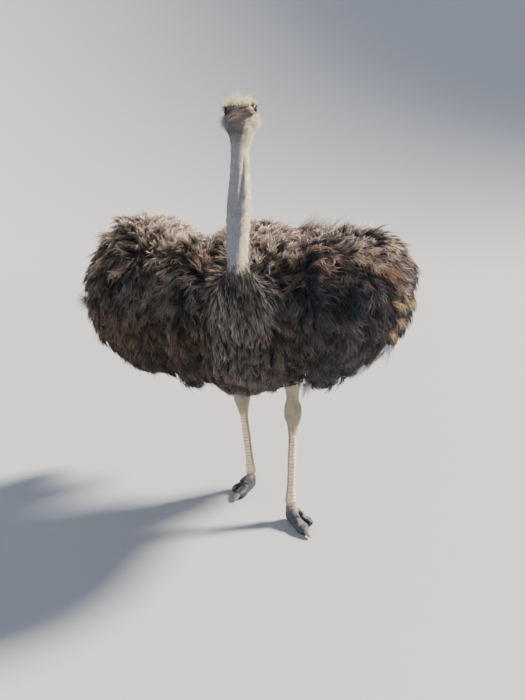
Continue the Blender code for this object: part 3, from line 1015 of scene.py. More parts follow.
def skinTones(points, normals):
    z = points[:, 2]
    dark, _ = plumageTones(points)
    colour = dark * 0.75
    # neck and head
    foot = ease(0.06, 0.03, farFrom(points, neckFoot)) * ease(1.22, 1.26, z)
    neck = np.maximum(ease(1.245, 1.285, z), foot)
    neck *= (points[:, 1] < -0.40) & (np.abs(points[:, 0] - bodyX) < 0.13)
    local = inHead(points)
    forehead = ease(-0.034, -0.044, local[:, 1]) * ease(-0.014, -0.006, local[:, 2])
    # painted sunlight: cream is the side turned to the lamp, less on the forehead
    cream = paintedSunlitShare(points, normals) * (1.0 - 0.85 * forehead)
    grey = mix(paint(116, 121, 130), paint(120, 123, 128), ease(1.3, 1.7, z))
    # painted shade: the top of the neck, under the head, is darker
    grey = layered(grey, ((80, 76, 69), ease(1.655, 1.715, z) * 0.85), ((232, 220, 196), cream))
    face = ease(1.735, 1.765, z) * neck
    # painted shade under the jaw
    under = ease(-0.025, -0.045, local[:, 2]) * ease(0.02, -0.03, local[:, 1])
    bare = mix(paint(78, 78, 84), paint(98, 93, 90), 0.5 + 0.5 * waves(points, 0.02, 61, 2))
    bare = layered(bare, ((62, 58, 53), under * 0.8), ((222, 208, 184), cream * 0.9))
    colour = faceTones(mix(mix(colour, grey, neck), bare, face), local, face)
    # legs and feet
    for side in ("left", "right"):
        middle = (np.array(legs[side]["ankle"]) + legs[side]["joint"]) / 2
        mine = (farFrom(points[:, :2], middle[:2]) < 0.26) & (z < 0.86)
        mine &= (points[:, 0] > 0.07) == (side == "left")
        tone = legTones(points[mine], normals[mine], side)
        colour[mine] = mix(colour[mine], tone, ease(0.80, 0.70, z[mine]))
    return colour


skin = makeSkin()
setTint(skin.data, skinTones(pointsOf(skin.data), normalsOf(skin.data)))
skin.data.shade_smooth()
fleshNodes = [name for name in nodes if not name.startswith(("bill", "eye", "claw"))]
placed(skin, "skin", fleshNodes)
print("one skin,", len(skin.data.vertices), "points")


# eyes, bill and claws

eye = {
    "cornea": 0.00095,  # how far the clear dome stands out
    # where each begins and ends, in degrees from the middle of the pupil
    "dome": (34.0, 10.0),
    "iris": (19.0, 21.5),
    "rim": (28.0, 36.0),
    "back": (38.0, 46.0),
}
bill = {
    "voxel": 0.00115,
    "ridge": 0.0085,  # half width of the ridge and nail
    "nostril": (0.0135, -0.066),  # out from the middle, and along
    "nostrilSize": (0.0024, 0.0075),
    "nail": -0.0885,
    "lip": ((-0.116, -0.09, -0.06, -0.03), (-0.0265, -0.0222, -0.0187, -0.0163)),  # along, and how high
}
claw = {
    "voxel": 0.0011,
    "grain": 0.0042,
    "cuff": 0.137,  # how far out the toe's skin ends
}


def finished(obj, points, colour, finish, standsFor):
    movePoints(obj.data, points)
    setTint(obj.data, colour)
    obj.data.shade_smooth()
    placed(obj, finish, [standsFor])


def makeEye(side, sign):
    middle, gaze, ahead, above = eyeAxes(sign)
    ball = bmesh.new()
    bmesh.ops.create_uvsphere(ball, u_segments=48, v_segments=32, radius=1.0)
    mesh = meshFrom(ball, "eye_" + side)
    spots = pointsOf(mesh)
    polar = np.degrees(np.arccos(np.clip(spots[:, 2], -1, 1)))
    cornea = eye["cornea"] * ease(*eye["dome"], polar)
    local = spots[:, :1] * ahead + spots[:, 1:2] * above + spots[:, 2:] * gaze
    local = local * (head["eyeball"] + cornea)[:, None] + middle
    colour = layered(
        mix(paint(8, 6, 7), paint(40, 28, 22), ease(*eye["iris"], polar)),
        ((22, 16, 14), ease(*eye["rim"], polar)),
        ((34, 28, 27), ease(*eye["back"], polar)),
    )
    if sign < 0:
        mesh.flip_normals()
    finished(linked("eyeball_" + side, mesh), outOfHead(local), colour, "eye", "eye_" + side)


def makeBill(half):
    obj = remeshed(joinedSolids("bill_shell_" + half, ["bill_" + half]), bill["voxel"], 4)
    points, normals = pointsOf(obj.data), normalsOf(obj.data)
    local, facing = inHead(points), turnedToHead(normals)
    x, y, z = np.abs(local[:, 0]), local[:, 1], local[:, 2]
    colour = mix(paint(92, 85, 81), paint(110, 99, 91), ease(0.0, 0.02, x))
    # painted shade: the bill darkens towards its tip
    colour = layered(colour, ((56, 50, 48), ease(-0.072, -0.100, y) * 0.8))
    if half == "upper":
        top = ease(0.2, 0.6, facing[:, 2])
        ridge = bill["ridge"] - 0.0025 * ease(-0.112, -0.040, y)
        out, along = bill["nostril"]
        wide, long = bill["nostrilSize"]
        nostril = np.sqrt(((x - out) / wide) ** 2 + ((y - along) / long) ** 2)
        nail = ease(-0.088, -0.096, y)
        lift = 0.0012 * ease(ridge + 0.002, ridge - 0.002, x) - 0.0014 * bump(x, ridge + 0.0018, 0.0016)
        lift += 0.0007 * bump(nostril, 1.7, 0.5) - 0.0034 * bump(nostril, 0.0, 0.95)
        lift += 0.0010 * nail - 0.0009 * bump(y, bill["nail"], 0.0016) * (x < 0.014)
        lift *= top
        colour = layered(
            colour,
            ((96, 90, 88), ease(ridge - 0.003, ridge + 0.003, x) * 0.4 * top),
            ((46, 36, 32), bump(nostril, 0.0, 1.0) * top),
            ((88, 74, 66), nail * 0.7),
        )
    else:
        lift = 0.0009 * ease(-0.2, -0.6, facing[:, 2]) * (ease(-0.090, -0.098, y) - bump(x, 0.010, 0.002))
        # painted shade: the lower bill darkens towards its tip
        tip = ease(-0.090, -0.10, y)
        colour = layered(colour, ((132, 108, 96), 0.6 * ease(-0.07, -0.04, y)), ((84, 72, 66), tip * 0.7))
    lip = bump(z, np.interp(y, *bill["lip"]), 0.0022)
    lip *= ease(0.55, 0.9, np.abs(facing[:, 0]) + np.maximum(-facing[:, 1], 0) * 0.8)
    shade = 1.0 + 0.12 * waves(points, 0.02, 71, 2)
    colour = layered(colour, ((138, 112, 100), lip * 0.7)) * shade[:, None]
    moved = points + normals * (lift + 0.0006 * lip)[:, None]
    finished(obj, moved, colour, "bill", "bill_" + half)


def makeClaw(side):
    obj = remeshed(joinedSolids("claw_shell_" + side, ["claw_" + side]), claw["voxel"], 4)
    points, normals = pointsOf(obj.data), normalsOf(obj.data)
    out, aside = alongToe(points, side, legs[side]["toes"][0])
    lift = 0.00028 * np.sin(aside * 2 * pi / claw["grain"]) * ease(0.0, 0.4, normals[:, 2])
    lift -= 0.0006 * bump(out, claw["cuff"], 0.003)
    points = points + normals * lift[:, None]
    points[:, 2] = np.maximum(points[:, 2], 0.0008)
    colour = mix(paint(118, 112, 106), paint(150, 146, 140), ease(0.140, 0.172, out))
    finished(obj, points, colour, "claw", "claw_" + side)


for side, sign in (("left", 1.0), ("right", -1.0)):
    makeEye(side, sign)
    makeClaw(side)
for half in ("upper", "lower"):
    makeBill(half)
print("eyes, bill and claws made")


# feathers: a bent shaft with loose barbs on both sides, all as joined ribbons

def ribbonCoat(name, ribbons, places, finish, standsFor):
    # ribbons: their centres (n, stations, 3), widths, directions across and colours; each narrows to
    # a point at its last station and takes a small patch of the sheet round its root's place
    centres, widths, across, colours = ribbons
    count, stations = centres.shape[:2]
    half = across * widths[..., None] * 0.5
    left, right = centres[:, :-1] - half[:, :-1], centres[:, :-1] + half[:, :-1]
    pairs = np.stack((left, right), axis=2).reshape(count, -1, 3)
    points = np.concatenate((pairs, centres[:, -1:]), axis=1)
    perRibbon = points.shape[1]
    tones = np.concatenate((np.repeat(colours[:, :-1], 2, axis=1), colours[:, -1:]), axis=1)
    quads = np.array([(2 * j, 2 * j + 1, 2 * j + 3, 2 * j + 2) for j in range(stations - 2)], np.int64)
    tip = np.array((2 * stations - 4, 2 * stations - 3, 2 * stations - 2), np.int64)
    corners = np.concatenate((quads.ravel(), tip))
    loops = (corners + (np.arange(count) * perRibbon)[:, None]).ravel()
    sizes = np.tile(np.array([4] * (stations - 2) + [3]), count)
    mesh = bpy.data.meshes.new(name)
    mesh.vertices.add(count * perRibbon)
    mesh.vertices.foreach_set("co", points.astype(np.float32).ravel())
    mesh.loops.add(len(loops))
    mesh.loops.foreach_set("vertex_index", loops.astype(np.int32))
    mesh.polygons.add(len(sizes))
    mesh.polygons.foreach_set("loop_start", (np.cumsum(sizes) - sizes).astype(np.int32))
    mesh.update(calc_edges=True)
    setTint(mesh, tones.reshape(-1, 3))
    rows = np.concatenate((np.repeat(np.arange(stations - 1), 2), [stations - 1])) / (stations - 1)
    sides = np.concatenate((np.tile((0.0, 1.0), stations - 1), [0.5]))
    patch = 0.003 * (np.stack((sides, rows), axis=1) - 0.5)
    spread = np.repeat(places, count // len(places), axis=0)[:, None] + patch
    layer = mesh.uv_layers.new(name="OFBake")
    layer.data.foreach_set("uv", spread.reshape(-1, 2)[loops].astype(np.float32).ravel())
    placed(linked(name, mesh), finish, standsFor)
    return count * (2 * stations - 3)


def withinBox(centres, overhang):
    # no tip reaches more than the overhang beyond the solids' own box
    return np.clip(centres, np.array(cadBox[0]) - overhang, np.array(cadBox[1]) + overhang)


def onSheet(turn, rise):
    # places on the sheet for the coat's colours, clear of its edges
    return np.stack((turn, np.clip(rise, 0.0, 1.0)), axis=1) * 0.98 + 0.01


def bodyUnwrap(points):
    # round the body's long axis and along it
    away = points - (bodyX, 0.0, 1.04)
    return onSheet(np.arctan2(away[:, 0], -away[:, 2]) / (2 * pi) + 0.5, (points[:, 1] + 0.66) / 1.34)


def neckUnwrap(points):
    away = points - (0.092, -0.54, 0.0)
    return onSheet(np.arctan2(away[:, 0], away[:, 1]) / (2 * pi) + 0.5, (points[:, 2] - 1.2) / 0.6)


def headUnwrap(points):
    local = inHead(points) - (0.0, 0.01, -0.01)
    rise = np.arctan2(local[:, 2], np.hypot(local[:, 0], local[:, 1])) / pi + 0.5
    return onSheet(np.arctan2(local[:, 0], local[:, 1]) / (2 * pi) + 0.5, rise)


def bodyFlow(points, normals):
    # the lie of the plumage: out from each shoulder, back along the body, down with gravity
    side = np.sign(points[:, 0] - bodyX)
    hub = np.stack((bodyX + side * 0.05, np.full(len(side), -0.42), np.full(len(side), 1.24)), axis=1)
    radial = points - hub
    reach = np.linalg.norm(radial, axis=1, keepdims=True)
    radial = radial / np.maximum(reach, 0.05)
    bib = bump(points[:, 0], bodyX, 0.13) * ease(-0.36, -0.50, points[:, 1])
    near = np.exp(-reach / 0.42)
    want = radial * near + (0.0, 0.45, 0.0) - up * (0.15 + 0.95 * (1 - near))
    want = mix(want, unit(points - neckFoot) + (0.0, 0.0, -0.7), bib)
    swirl = waves(points, 0.22, 81, 2)[:, None] * np.cross(normals, unit(want)) * 0.40
    return tangent(want + swirl, normals)


def growSpines(roots, facing, length, depth, lift, plan, rng):
    # walks each shaft over the outer surface, from its root in the skin to its tip at the surface
    steps, stick = plan["steps"], plan["stick"]
    points = roots.copy()
    normals = facing.copy()
    ahead = bodyFlow(points, normals)
    ahead = unit(ahead + rng.normal(0.0, 0.16, ahead.shape))
    spine, outward = [points.copy()], [normals.copy()]
    for _ in range(steps):
        ahead = unit(0.6 * ahead + 0.4 * bodyFlow(points, normals))
        free = points + ahead * (length / steps)[:, None]
        free[:, 2] -= 0.10 * length / steps
        found, foundNormals = nearestOn(outerSurface, free)
        fresh = free * (1 - stick) + found * stick
        ahead = unit(fresh - points)
        points = fresh
        normals = unit(normals * 0.4 + foundNormals * 0.6)
        spine.append(points.copy())
        outward.append(normals.copy())
    spine, outward = np.stack(spine, axis=1), np.stack(outward, axis=1)
    share = np.linspace(0.0, 1.0, steps + 1)[None, :]
    sunk = depth[:, None] * (1.0 - share) ** 1.5 - lift[:, None] * share
    return spine - outward * sunk[..., None], outward


def alongSpine(values, share):
    # values (k, steps + 1, 3) at shares (k, n) from 0 to 1, running on straight past the tip
    steps = values.shape[1] - 1
    place = share * steps
    low = np.clip(np.floor(place).astype(int), 0, steps - 1)
    part = (place - low)[..., None]
    rows = np.arange(len(values))[:, None]
    return values[rows, low] * (1 - part) + values[rows, low + 1] * part


def flattened(count, stations, *values):
    # one row for each ribbon, whatever it grows from
    return tuple(v.reshape(count, stations, *v.shape[3:]) for v in values)


def growFeathers(spine, outward, plan, tones, rng):
    # returns ribbon centres, widths, across directions and colours, feather by feather
    count, barbs, stations = len(spine), plan["barbs"], 3
    ahead = unit(np.gradient(spine, axis=1))
    sideways = unit(np.cross(ahead, outward))
    share = np.linspace(0.0, 1.0, stations)[None, None, :]
    start = (np.arange(barbs) // 2 * 2 + rng.random((count, barbs))) / barbs * 0.74
    hand = np.where(np.arange(barbs) % 2 == 0, 1.0, -1.0)[None, :]
    reach = plan["barbLength"] * (0.7 + 0.6 * rng.random((count, barbs)))
    fan = 0.45 + 0.75 * start
    spread = fan * (0.15 + 0.95 * rng.random((count, barbs))) * hand
    along = start[..., None] + reach[..., None] * share * (1.0 - 0.28 * np.abs(spread[..., None]) * share)
    sway = rng.normal(0.0, 0.18, (count, barbs))
    lateral = spread[..., None] * (1 - (1 - share) ** 1.6) + sway[..., None] * share**2
    wave = plan["wave"] * np.sin(along * 8.0 + rng.uniform(0, 2 * pi, (count, 1, 1)))
    rise = rng.normal(0.0, plan["fluff"], (count, barbs))[..., None] * share - plan["crown"] * lateral**2
    flat = along.reshape(count, -1)
    centre = alongSpine(spine, flat).reshape(count, barbs, stations, 3)
    over = alongSpine(outward, flat).reshape(count, barbs, stations, 3)
    beside = alongSpine(sideways, flat).reshape(count, barbs, stations, 3)
    centre = centre + beside * (plan["width"] * lateral + wave * share)[..., None] + over * rise[..., None]
    run = unit(np.gradient(centre, axis=2))
    twist = rng.normal(0.0, 0.7, (count, barbs, 1, 1)) - 0.6 * hand[..., None, None]
    face = unit(over * np.cos(twist) + beside * np.sin(twist))
    across = unit(np.cross(run, face))
    widths = plan["barbWidth"] * np.array((1.0, 0.85, 0.0)) * (0.7 + 0.6 * rng.random((count, barbs, 1)))
    dark, light = tones
    tipShare = ease(plan["tipStart"], 1.08, along) * (0.5 + 0.65 * rng.random((count, 1, 1)))
    colours = mix(dark[:, None, None, :], light[:, None, None, :], np.clip(tipShare, 0, 1))
    colours = colours * (1.0 + plan["streak"] * rng.normal(0.0, 1.0, (count, barbs, 1, 1)).clip(-2.2, 2.6))
    return flattened(count * barbs, stations, centre, widths, across, colours)


coat = {
    "seed": 7,
    "spacing": 0.0175,
    "lockSpacing": 0.046,
    "lockKeep": 0.86,  # how much of its place across the lock a feather keeps
    "lockTip": 0.35,  # how much of its place along the lock a tip keeps
    "lockRound": 0.026,
    "lockCrown": 0.014,
    "lockTone": 0.25,
    "lockShare": 0.6,  # how much of its lock's lift a feather takes up
    "lockReach": 0.07,  # how far out from the skin a feather looks for its nearest lock
    "paintedRidgeShading": 22.0,  # painted light and shade: how much brighter a lock is painted for each metre that it stands out, and darker where it sinks
    "lockShade": (-0.66, 0.40, 0.24),  # most painted shade in hollows and painted light on ridges, and the darkest
    "strays": 0.010,
    "strayLift": 0.010,
    "strayFrom": 1.15,  # strays grow only above this height
    "unruly": ((-0.52, -0.19, 1.40), 0.07),  # where strays are commoner, and how far round it
    # ridges and hollows of the plumage: a line, how wide it is, how far it stands out; hollows also get
    # painted shade and ridges painted light
    "ridges": [
        ([(0.440, -0.310, 1.320), (0.459, -0.365, 1.270), (0.495, -0.435, 1.142), (0.477, -0.434, 0.966)],
         0.030, 0.032),
        ([(0.505, -0.395, 1.190), (0.535, -0.415, 1.120), (0.525, -0.425, 0.980)], 0.026, -0.016),
        ([(0.490, -0.295, 1.335), (0.550, -0.300, 1.322), (0.620, -0.285, 1.300), (0.690, -0.240, 1.250)],
         0.022, 0.030),
        ([(0.468, -0.370, 1.285), (0.530, -0.370, 1.272), (0.590, -0.360, 1.248)], 0.030, -0.060),
        ([(-0.430, -0.110, 1.405), (-0.360, -0.140, 1.400)], 0.050, 0.026),
        ([(0.622, -0.350, 1.235), (0.668, -0.325, 1.205)], 0.020, 0.026),
        ([(0.655, -0.325, 1.165), (0.690, -0.290, 1.150)], 0.016, -0.030),
        ([(0.440, -0.265, 1.352), (0.480, -0.240, 1.362), (0.520, -0.250, 1.352)], 0.025, -0.046),
        ([(0.375, -0.380, 1.290), (0.409, -0.420, 1.227), (0.415, -0.445, 1.150)], 0.024, -0.036),
        ([(0.150, -0.350, 1.275), (0.195, -0.385, 1.245)], 0.036, -0.044),
        ([(0.300, -0.400, 1.130), (0.290, -0.440, 1.000)], 0.030, -0.030),
        ([(-0.440, -0.290, 1.350), (-0.415, -0.315, 1.318), (-0.385, -0.350, 1.275)], 0.028, -0.046),
        ([(-0.085, -0.330, 1.310), (-0.030, -0.345, 1.290)], 0.026, -0.036),
        ([(-0.215, -0.290, 1.335), (-0.150, -0.320, 1.310)], 0.026, 0.024),
        ([(-0.300, -0.255, 1.345), (-0.235, -0.350, 1.305)], 0.034, 0.032),
        ([(-0.560, -0.290, 1.310), (-0.480, -0.345, 1.325)], 0.050, -0.030),
        ([(-0.470, -0.380, 1.240), (-0.420, -0.430, 1.100)], 0.034, -0.030),
        ([(-0.535, -0.210, 1.395), (-0.500, -0.150, 1.412)], 0.040, 0.028),
        ([(0.310, 0.120, 1.370), (0.270, 0.300, 1.360)], 0.050, 0.034),
    ],
    "palePlaces": [
        ((0.590, -0.200, 0.870), 0.035),
        ((0.311, -0.270, 0.740), 0.026),
        ((0.290, 0.180, 1.370), 0.060),
    ],
    # places where curled tips stand out, with painted highlights
    "brightRise": 0.020,
    "paintedHighlightPlaces": [
        ((0.655, -0.290, 0.985), 0.014),
        ((0.690, -0.260, 1.030), 0.014),
        ((0.716, -0.240, 1.105), 0.016),
        ((0.668, -0.310, 1.225), 0.018),
    ],
    "steps": 7,
    "stick": 0.9,  # how closely each shaft follows the surface
    "overhang": 0.022,
    "mostTriangles": 190000,
    "barbTriangles": 3,
    # for each kind of feather: its length and half width, its barbs, how far it waves, how much its barbs
    # differ in tone, how it fluffs, how round it is across, how its tip curls, where its light tip starts,
    # how deep its root lies, how far its locks stand out and how firmly they hold
    "kinds": {
        "wing": {
            "length": 0.100, "width": 0.024, "barbs": 40, "barbLength": 0.38, "barbWidth": 0.0023,
            "wave": 0.006, "streak": 0.20, "fluff": 0.005, "crown": 0.007, "curl": 0.34,
            "tipStart": 0.50, "depth": 0.044, "lift": 0.012, "hold": 0.80,
        },
        "back": {
            "length": 0.092, "width": 0.025, "barbs": 40, "barbLength": 0.40, "barbWidth": 0.0022,
            "wave": 0.004, "streak": 0.22, "fluff": 0.005, "crown": 0.008, "curl": 0.34,
            "tipStart": 0.42, "depth": 0.044, "lift": 0.012, "hold": 0.85,
        },
        "bib": {
            "length": 0.070, "width": 0.0085, "barbs": 22, "barbLength": 0.52, "barbWidth": 0.0018,
            "wave": 0.001, "streak": 0.30, "fluff": 0.002, "crown": 0.001, "curl": 0.05,
            "tipStart": 0.50, "depth": 0.018, "lift": 0.002, "hold": 0.30,
        },
        "belly": {
            "length": 0.110, "width": 0.018, "barbs": 34, "barbLength": 0.45, "barbWidth": 0.0021,
            "wave": 0.003, "streak": 0.20, "fluff": 0.004, "crown": 0.005, "curl": 0.10,
            "tipStart": 0.45, "depth": 0.040, "lift": 0.006, "hold": 0.70,
        },
        "pale": {
            "length": 0.180, "width": 0.040, "barbs": 46, "barbLength": 0.34, "barbWidth": 0.0022,
            "wave": 0.008, "streak": 0.14, "fluff": 0.008, "crown": 0.010, "curl": 0.45,
            "tipStart": 0.15, "depth": 0.024, "lift": 0.010, "hold": 0.45,
        },
    },
}


def ownersOf(points):
    # the plumage solid that each place belongs to
    away = []
    for name in plumageNodes:
        solid = bmesh.new()
        solid.from_mesh(nodes[name].data)
        tree = BVHTree.FromBMesh(solid)
        solid.free()
        away.append([tree.find_nearest(point)[3] for point in points.tolist()])
    return np.argmin(np.array(away), axis=0)


def onBib(points):
    return (np.abs(points[:, 0] - bodyX) < 0.12) & (points[:, 1] < -0.42) & (points[:, 2] > 1.02)


def kindOf(owner, points, normals):
    y, z = points[:, 1], points[:, 2]
    name = np.array(plumageNodes)[owner]
    kind = np.full(len(points), "wing", dtype=object)
    kind[(name == "trunk") | (name == "neck_base")] = "belly"
    kind[(z > 1.16) & (y > -0.40)] = "back"
    kind[(name == "trunk") & (normals[:, 2] > 0.2)] = "back"
    kind[(name == "neck_base") & (y < -0.36) | onBib(points)] = "bib"
    kind[np.isin(name, paleNodes)] = "pale"
    for place, reach in coat["palePlaces"]:
        kind[farFrom(points, place) < reach] = "pale"
    return kind


def ridgesAt(points):
    # how far the plumage stands out of its plain shape at each place
    out = np.zeros(len(points))
    for line, width, height in coat["ridges"]:
        away, _ = toLine(points, line)
        out += height * bump(away, 0.0, width)
    return out + coat["brightRise"] * paintedHighlightAt(points)


def paintedHighlightAt(points):
    share = np.zeros(len(points))
    for place, reach in coat["paintedHighlightPlaces"]:
        share += bump(farFrom(points, place), 0.0, reach)
    return np.minimum(share, 1.0)


def rootDensity(points):
    hidden = (points[:, 2] > 1.256) & (farFrom(points, neckFoot) < 0.043)
    return np.where(hidden, 0.02, 1.0 + 1.5 * onBib(points))


def bentTips(spine, outward, curl, aside):
    # lifts and turns the last part of each spine, so that its tip curls
    steps = spine.shape[1] - 1
    share = np.linspace(0.0, 1.0, steps + 1)[None, :, None]
    late = np.maximum(share - 0.5, 0.0) ** 2 * 4.0
    sideways = np.cross(unit(np.gradient(spine, axis=1)), outward)
    return spine + (outward * curl[:, None, None] + sideways * aside[:, None, None]) * late


def growBodyCoat(settings):
    rng = np.random.default_rng(settings["seed"])
    kinds = settings["kinds"]
    labels = list(kinds)

    def planned(kind, key):
        return np.array([kinds[label][key] for label in kind])

    def spines(spots, facing, length, depth, lift):
        return growSpines(spots, facing, length, thinnedByNeck(spots, depth), lift, settings, rng)

    # locks: a wide net of spines that draws the feathers round it together
    lockRoots, lockFacing = scattered(outer.data, settings["lockSpacing"], rng)
    lockKind = kindOf(ownersOf(lockRoots), lockRoots, lockFacing)
    lockCount = len(lockRoots)
    lockRidge = ridgesAt(lockRoots)
    lockLift = planned(lockKind, "lift") * rng.normal(0.0, 1.0, lockCount).clip(-1.6, 1.5) + lockRidge
    lockLength = planned(lockKind, "length") * (0.95 + 0.3 * rng.random(lockCount))
    lockSpine, lockOut = spines(lockRoots, lockFacing, lockLength, planned(lockKind, "depth"), lockLift)
    curls = rng.random(lockCount) ** 3 * planned(lockKind, "curl") * lockLength
    lockSpine = bentTips(lockSpine, lockOut, curls, rng.normal(0.0, 0.10, lockCount) * lockLength)
    lockShade = 1.0 + settings["lockTone"] * rng.normal(0.0, 1.0, lockCount).clip(-1.6, 1.8)
    # painted light and shade: locks on ridges are painted lighter and locks in hollows darker, on top of
    # their own random tone
    hollow, ridge, darkest = settings["lockShade"]
    lockShade = np.maximum(lockShade + np.clip(lockRidge * settings["paintedRidgeShading"], hollow, ridge), darkest)
    lockTree = treeOf(lockRoots + lockFacing * settings["lockReach"])

    roots, facing = scattered(outer.data, settings["spacing"], rng, rootDensity)
    owner = ownersOf(roots)
    kind = kindOf(owner, roots, facing)
    print("body feathers:", len(roots), {k: int((kind == k).sum()) for k in labels})
    count = len(roots)
    length = planned(kind, "length") * (0.75 + 0.5 * rng.random(count))
    depth = planned(kind, "depth") * (0.85 + 0.3 * rng.random(count))
    lock = np.array([lockTree.find(spot)[1] for spot in (roots + facing * settings["lockReach"]).tolist()])
    lift = settings["lockShare"] * lockLift[lock] + planned(kind, "lift") * rng.normal(0.0, 0.35, count)
    place, reach = settings["unruly"]
    unruly = 1.0 + 4.0 * bump(farFrom(roots, place), 0.0, reach)
    stray = (rng.random(count) < settings["strays"] * unruly) & (roots[:, 2] > settings["strayFrom"])
    length = length * (1.0 + 0.25 * stray)
    lift = lift + settings["strayLift"] * stray * rng.random(count)
    spine, outward = spines(roots, facing, length, depth, lift)
    spine = bentTips(spine, outward, 0.20 * length * stray, rng.normal(0.0, 0.40, count) * length * stray)
    share = np.linspace(0.0, 1.0, settings["steps"] + 1)[None, :, None]
    # a feather keeps its place across its lock, and its tip comes to the lock's rounded end
    hold = planned(kind, "hold") * (0.5 + 0.5 * rng.random(count)) * (1.0 - 0.8 * stray)
    hold = hold[:, None, None] * share**0.9
    halfway = settings["steps"] // 2 + 1
    lockAhead = unit(lockSpine[:, halfway] - lockSpine[:, 0])[lock][:, None]
    aside = (roots - lockRoots[lock])[:, None]
    along = (aside * lockAhead).sum(axis=2, keepdims=True)
    across = aside - lockAhead * along
    wide = np.linalg.norm(across, axis=2, keepdims=True) / settings["lockSpacing"] * 2.0
    wide = np.minimum(wide, 1.3) ** 2
    ends = along * (1.0 - (1.0 - settings["lockTip"]) * share) - settings["lockRound"] * wide * share
    drawn = lockSpine[lock] + across * settings["lockKeep"] + lockAhead * ends
    drawn = drawn - lockOut[lock] * (settings["lockCrown"] * wide * share)
    spine = spine + (drawn - spine) * hold
    outward = unit(outward + (lockOut[lock] - outward) * hold)
    darkTone, lightTone = plumageTones(spine[:, -1])
    # painted highlight on the curled tips at these places
    paintedHighlight = paintedHighlightAt(lockRoots)[lock]
    darkTone = layered(darkTone, ((96, 66, 46), paintedHighlight * 0.6))
    lightTone = layered(lightTone, ((255, 226, 184), paintedHighlight))
    darkPale, lightPale = paleTones(roots)
    pale = (kind == "pale")[:, None]
    shade = (lockShade[lock] * (1.0 + rng.normal(0.0, 0.08, count)))[:, None]
    darkTone = np.where(pale, darkPale, darkTone) * shade
    lightTone = np.where(pale, lightPale, lightTone) * shade
    patches = bodyUnwrap(roots)
    total = 0
    for n, node in enumerate(plumageNodes):
        mine = np.flatnonzero(owner == n)
        mine = mine[np.argsort(roots[mine, 1])]
        cost = planned(kind[mine], "barbs").cumsum() * settings["barbTriangles"]
        shares = int(cost[-1] // settings["mostTriangles"]) + 1
        parts = np.split(mine, np.searchsorted(cost, np.arange(1, shares) * cost[-1] / shares))
        for number, part in enumerate(parts):
            made = []
            for label in labels:
                chosen = part[kind[part] == label]
                if len(chosen):
                    tones = (darkTone[chosen], lightTone[chosen])
                    grown = growFeathers(spine[chosen], outward[chosen], kinds[label], tones, rng)
                    made.append((*grown, np.repeat(patches[chosen], kinds[label]["barbs"], axis=0)))
            centres, *rest, places = (np.concatenate(group) for group in zip(*made))
            centres = withinBox(centres, settings["overhang"])
            isPale = node in paleNodes
            name = "coat_" + node + ("_" + str(number + 1) if len(parts) > 1 else "")
            finish = "pale" if isPale else "brown"
            triangles = ribbonCoat(name, (centres, *rest), places, finish, [node])
            total += triangles
            print("  ", name, triangles, "triangles")
    return total


# wisps that stand out of the plumage: where each starts, where it heads, its length, how wide its roots
# spread, how many tufts it has, how much wider than plain its hairs are, and its dark and light tones
shadow = (paint(30, 26, 24), paint(66, 58, 50))
brown = (paint(34, 29, 26), paint(104, 88, 75))
# painted highlights: fair, fawn, rusty, curl, amber and cream are the light tones of sunlit strands
fair = (paint(66, 48, 40), paint(232, 204, 178))
fawn = (paint(66, 48, 40), paint(226, 196, 168))
rusty = (paint(78, 54, 42), paint(206, 162, 128))
curl = (paint(74, 50, 38), paint(255, 222, 176))
amber = (curl[0], paint(250, 206, 160))
cream = (curl[0], paint(236, 214, 190))
white = (paint(176, 182, 194), paint(255, 255, 255))
silver = (paint(150, 160, 180), paint(246, 249, 255))
straw = (paint(80, 66, 55), paint(214, 192, 168))
wisps = {
    "seed": 23,
    "perTuft": 7,
    "width": 0.0016,
    "rise": 0.12,
    "spread": 0.004,
    "overhang": 0.040,
    "stations": 5,
    "sway": 0.012,
    "places": [
        ((0.296, -0.245, 0.842), (0.00, -0.10, -1.0), 0.105, 0.026, 130, 1.0, shadow),
        ((-0.722, -0.140, 1.036), (-0.88, -0.25, 0.05), 0.078, 0.013, 80, 1.0, brown),
        # painted highlights: sunlit strands along the ridge and curls on the rim of the bird's left wing
        ((0.505, -0.368, 1.297), (0.80, -0.25, -0.35), 0.056, 0.015, 18, 0.8, fair),
        ((0.570, -0.370, 1.276), (0.80, -0.20, -0.55), 0.056, 0.015, 18, 0.8, fawn),
        ((0.625, -0.350, 1.246), (0.82, -0.10, -0.50), 0.060, 0.012, 20, 0.8, rusty),
        ((0.655, -0.345, 1.122), (0.80, -0.05, -0.40), 0.046, 0.007, 15, 0.8, curl),
        ((0.705, -0.275, 1.118), (0.80, 0.00, -0.50), 0.048, 0.010, 20, 0.8, curl),
        ((0.672, -0.300, 1.048), (0.72, -0.10, -0.70), 0.044, 0.006, 14, 0.8, curl),
        ((0.644, -0.330, 1.004), (0.74, -0.10, -0.62), 0.044, 0.006, 14, 0.8, amber),
        ((0.700, -0.262, 1.190), (0.45, -0.10, -0.85), 0.036, 0.005, 9, 0.9, cream),
        ((0.648, -0.275, 0.930), (-0.30, -0.35, -0.88), 0.078, 0.007, 12, 1.2, white),
        ((0.560, -0.300, 0.845), (-0.70, -0.30, -0.60), 0.050, 0.006, 8, 1.2, white),
        ((0.322, -0.275, 0.745), (-0.34, -0.25, -0.90), 0.066, 0.008, 22, 1.3, silver),
        ((0.235, 0.060, 1.350), (0.80, -0.30, 0.50), 0.110, 0.034, 60, 1.0, straw),
        ((0.310, 0.020, 1.352), (0.60, -0.30, 0.55), 0.090, 0.030, 50, 1.0, straw),
    ],
}


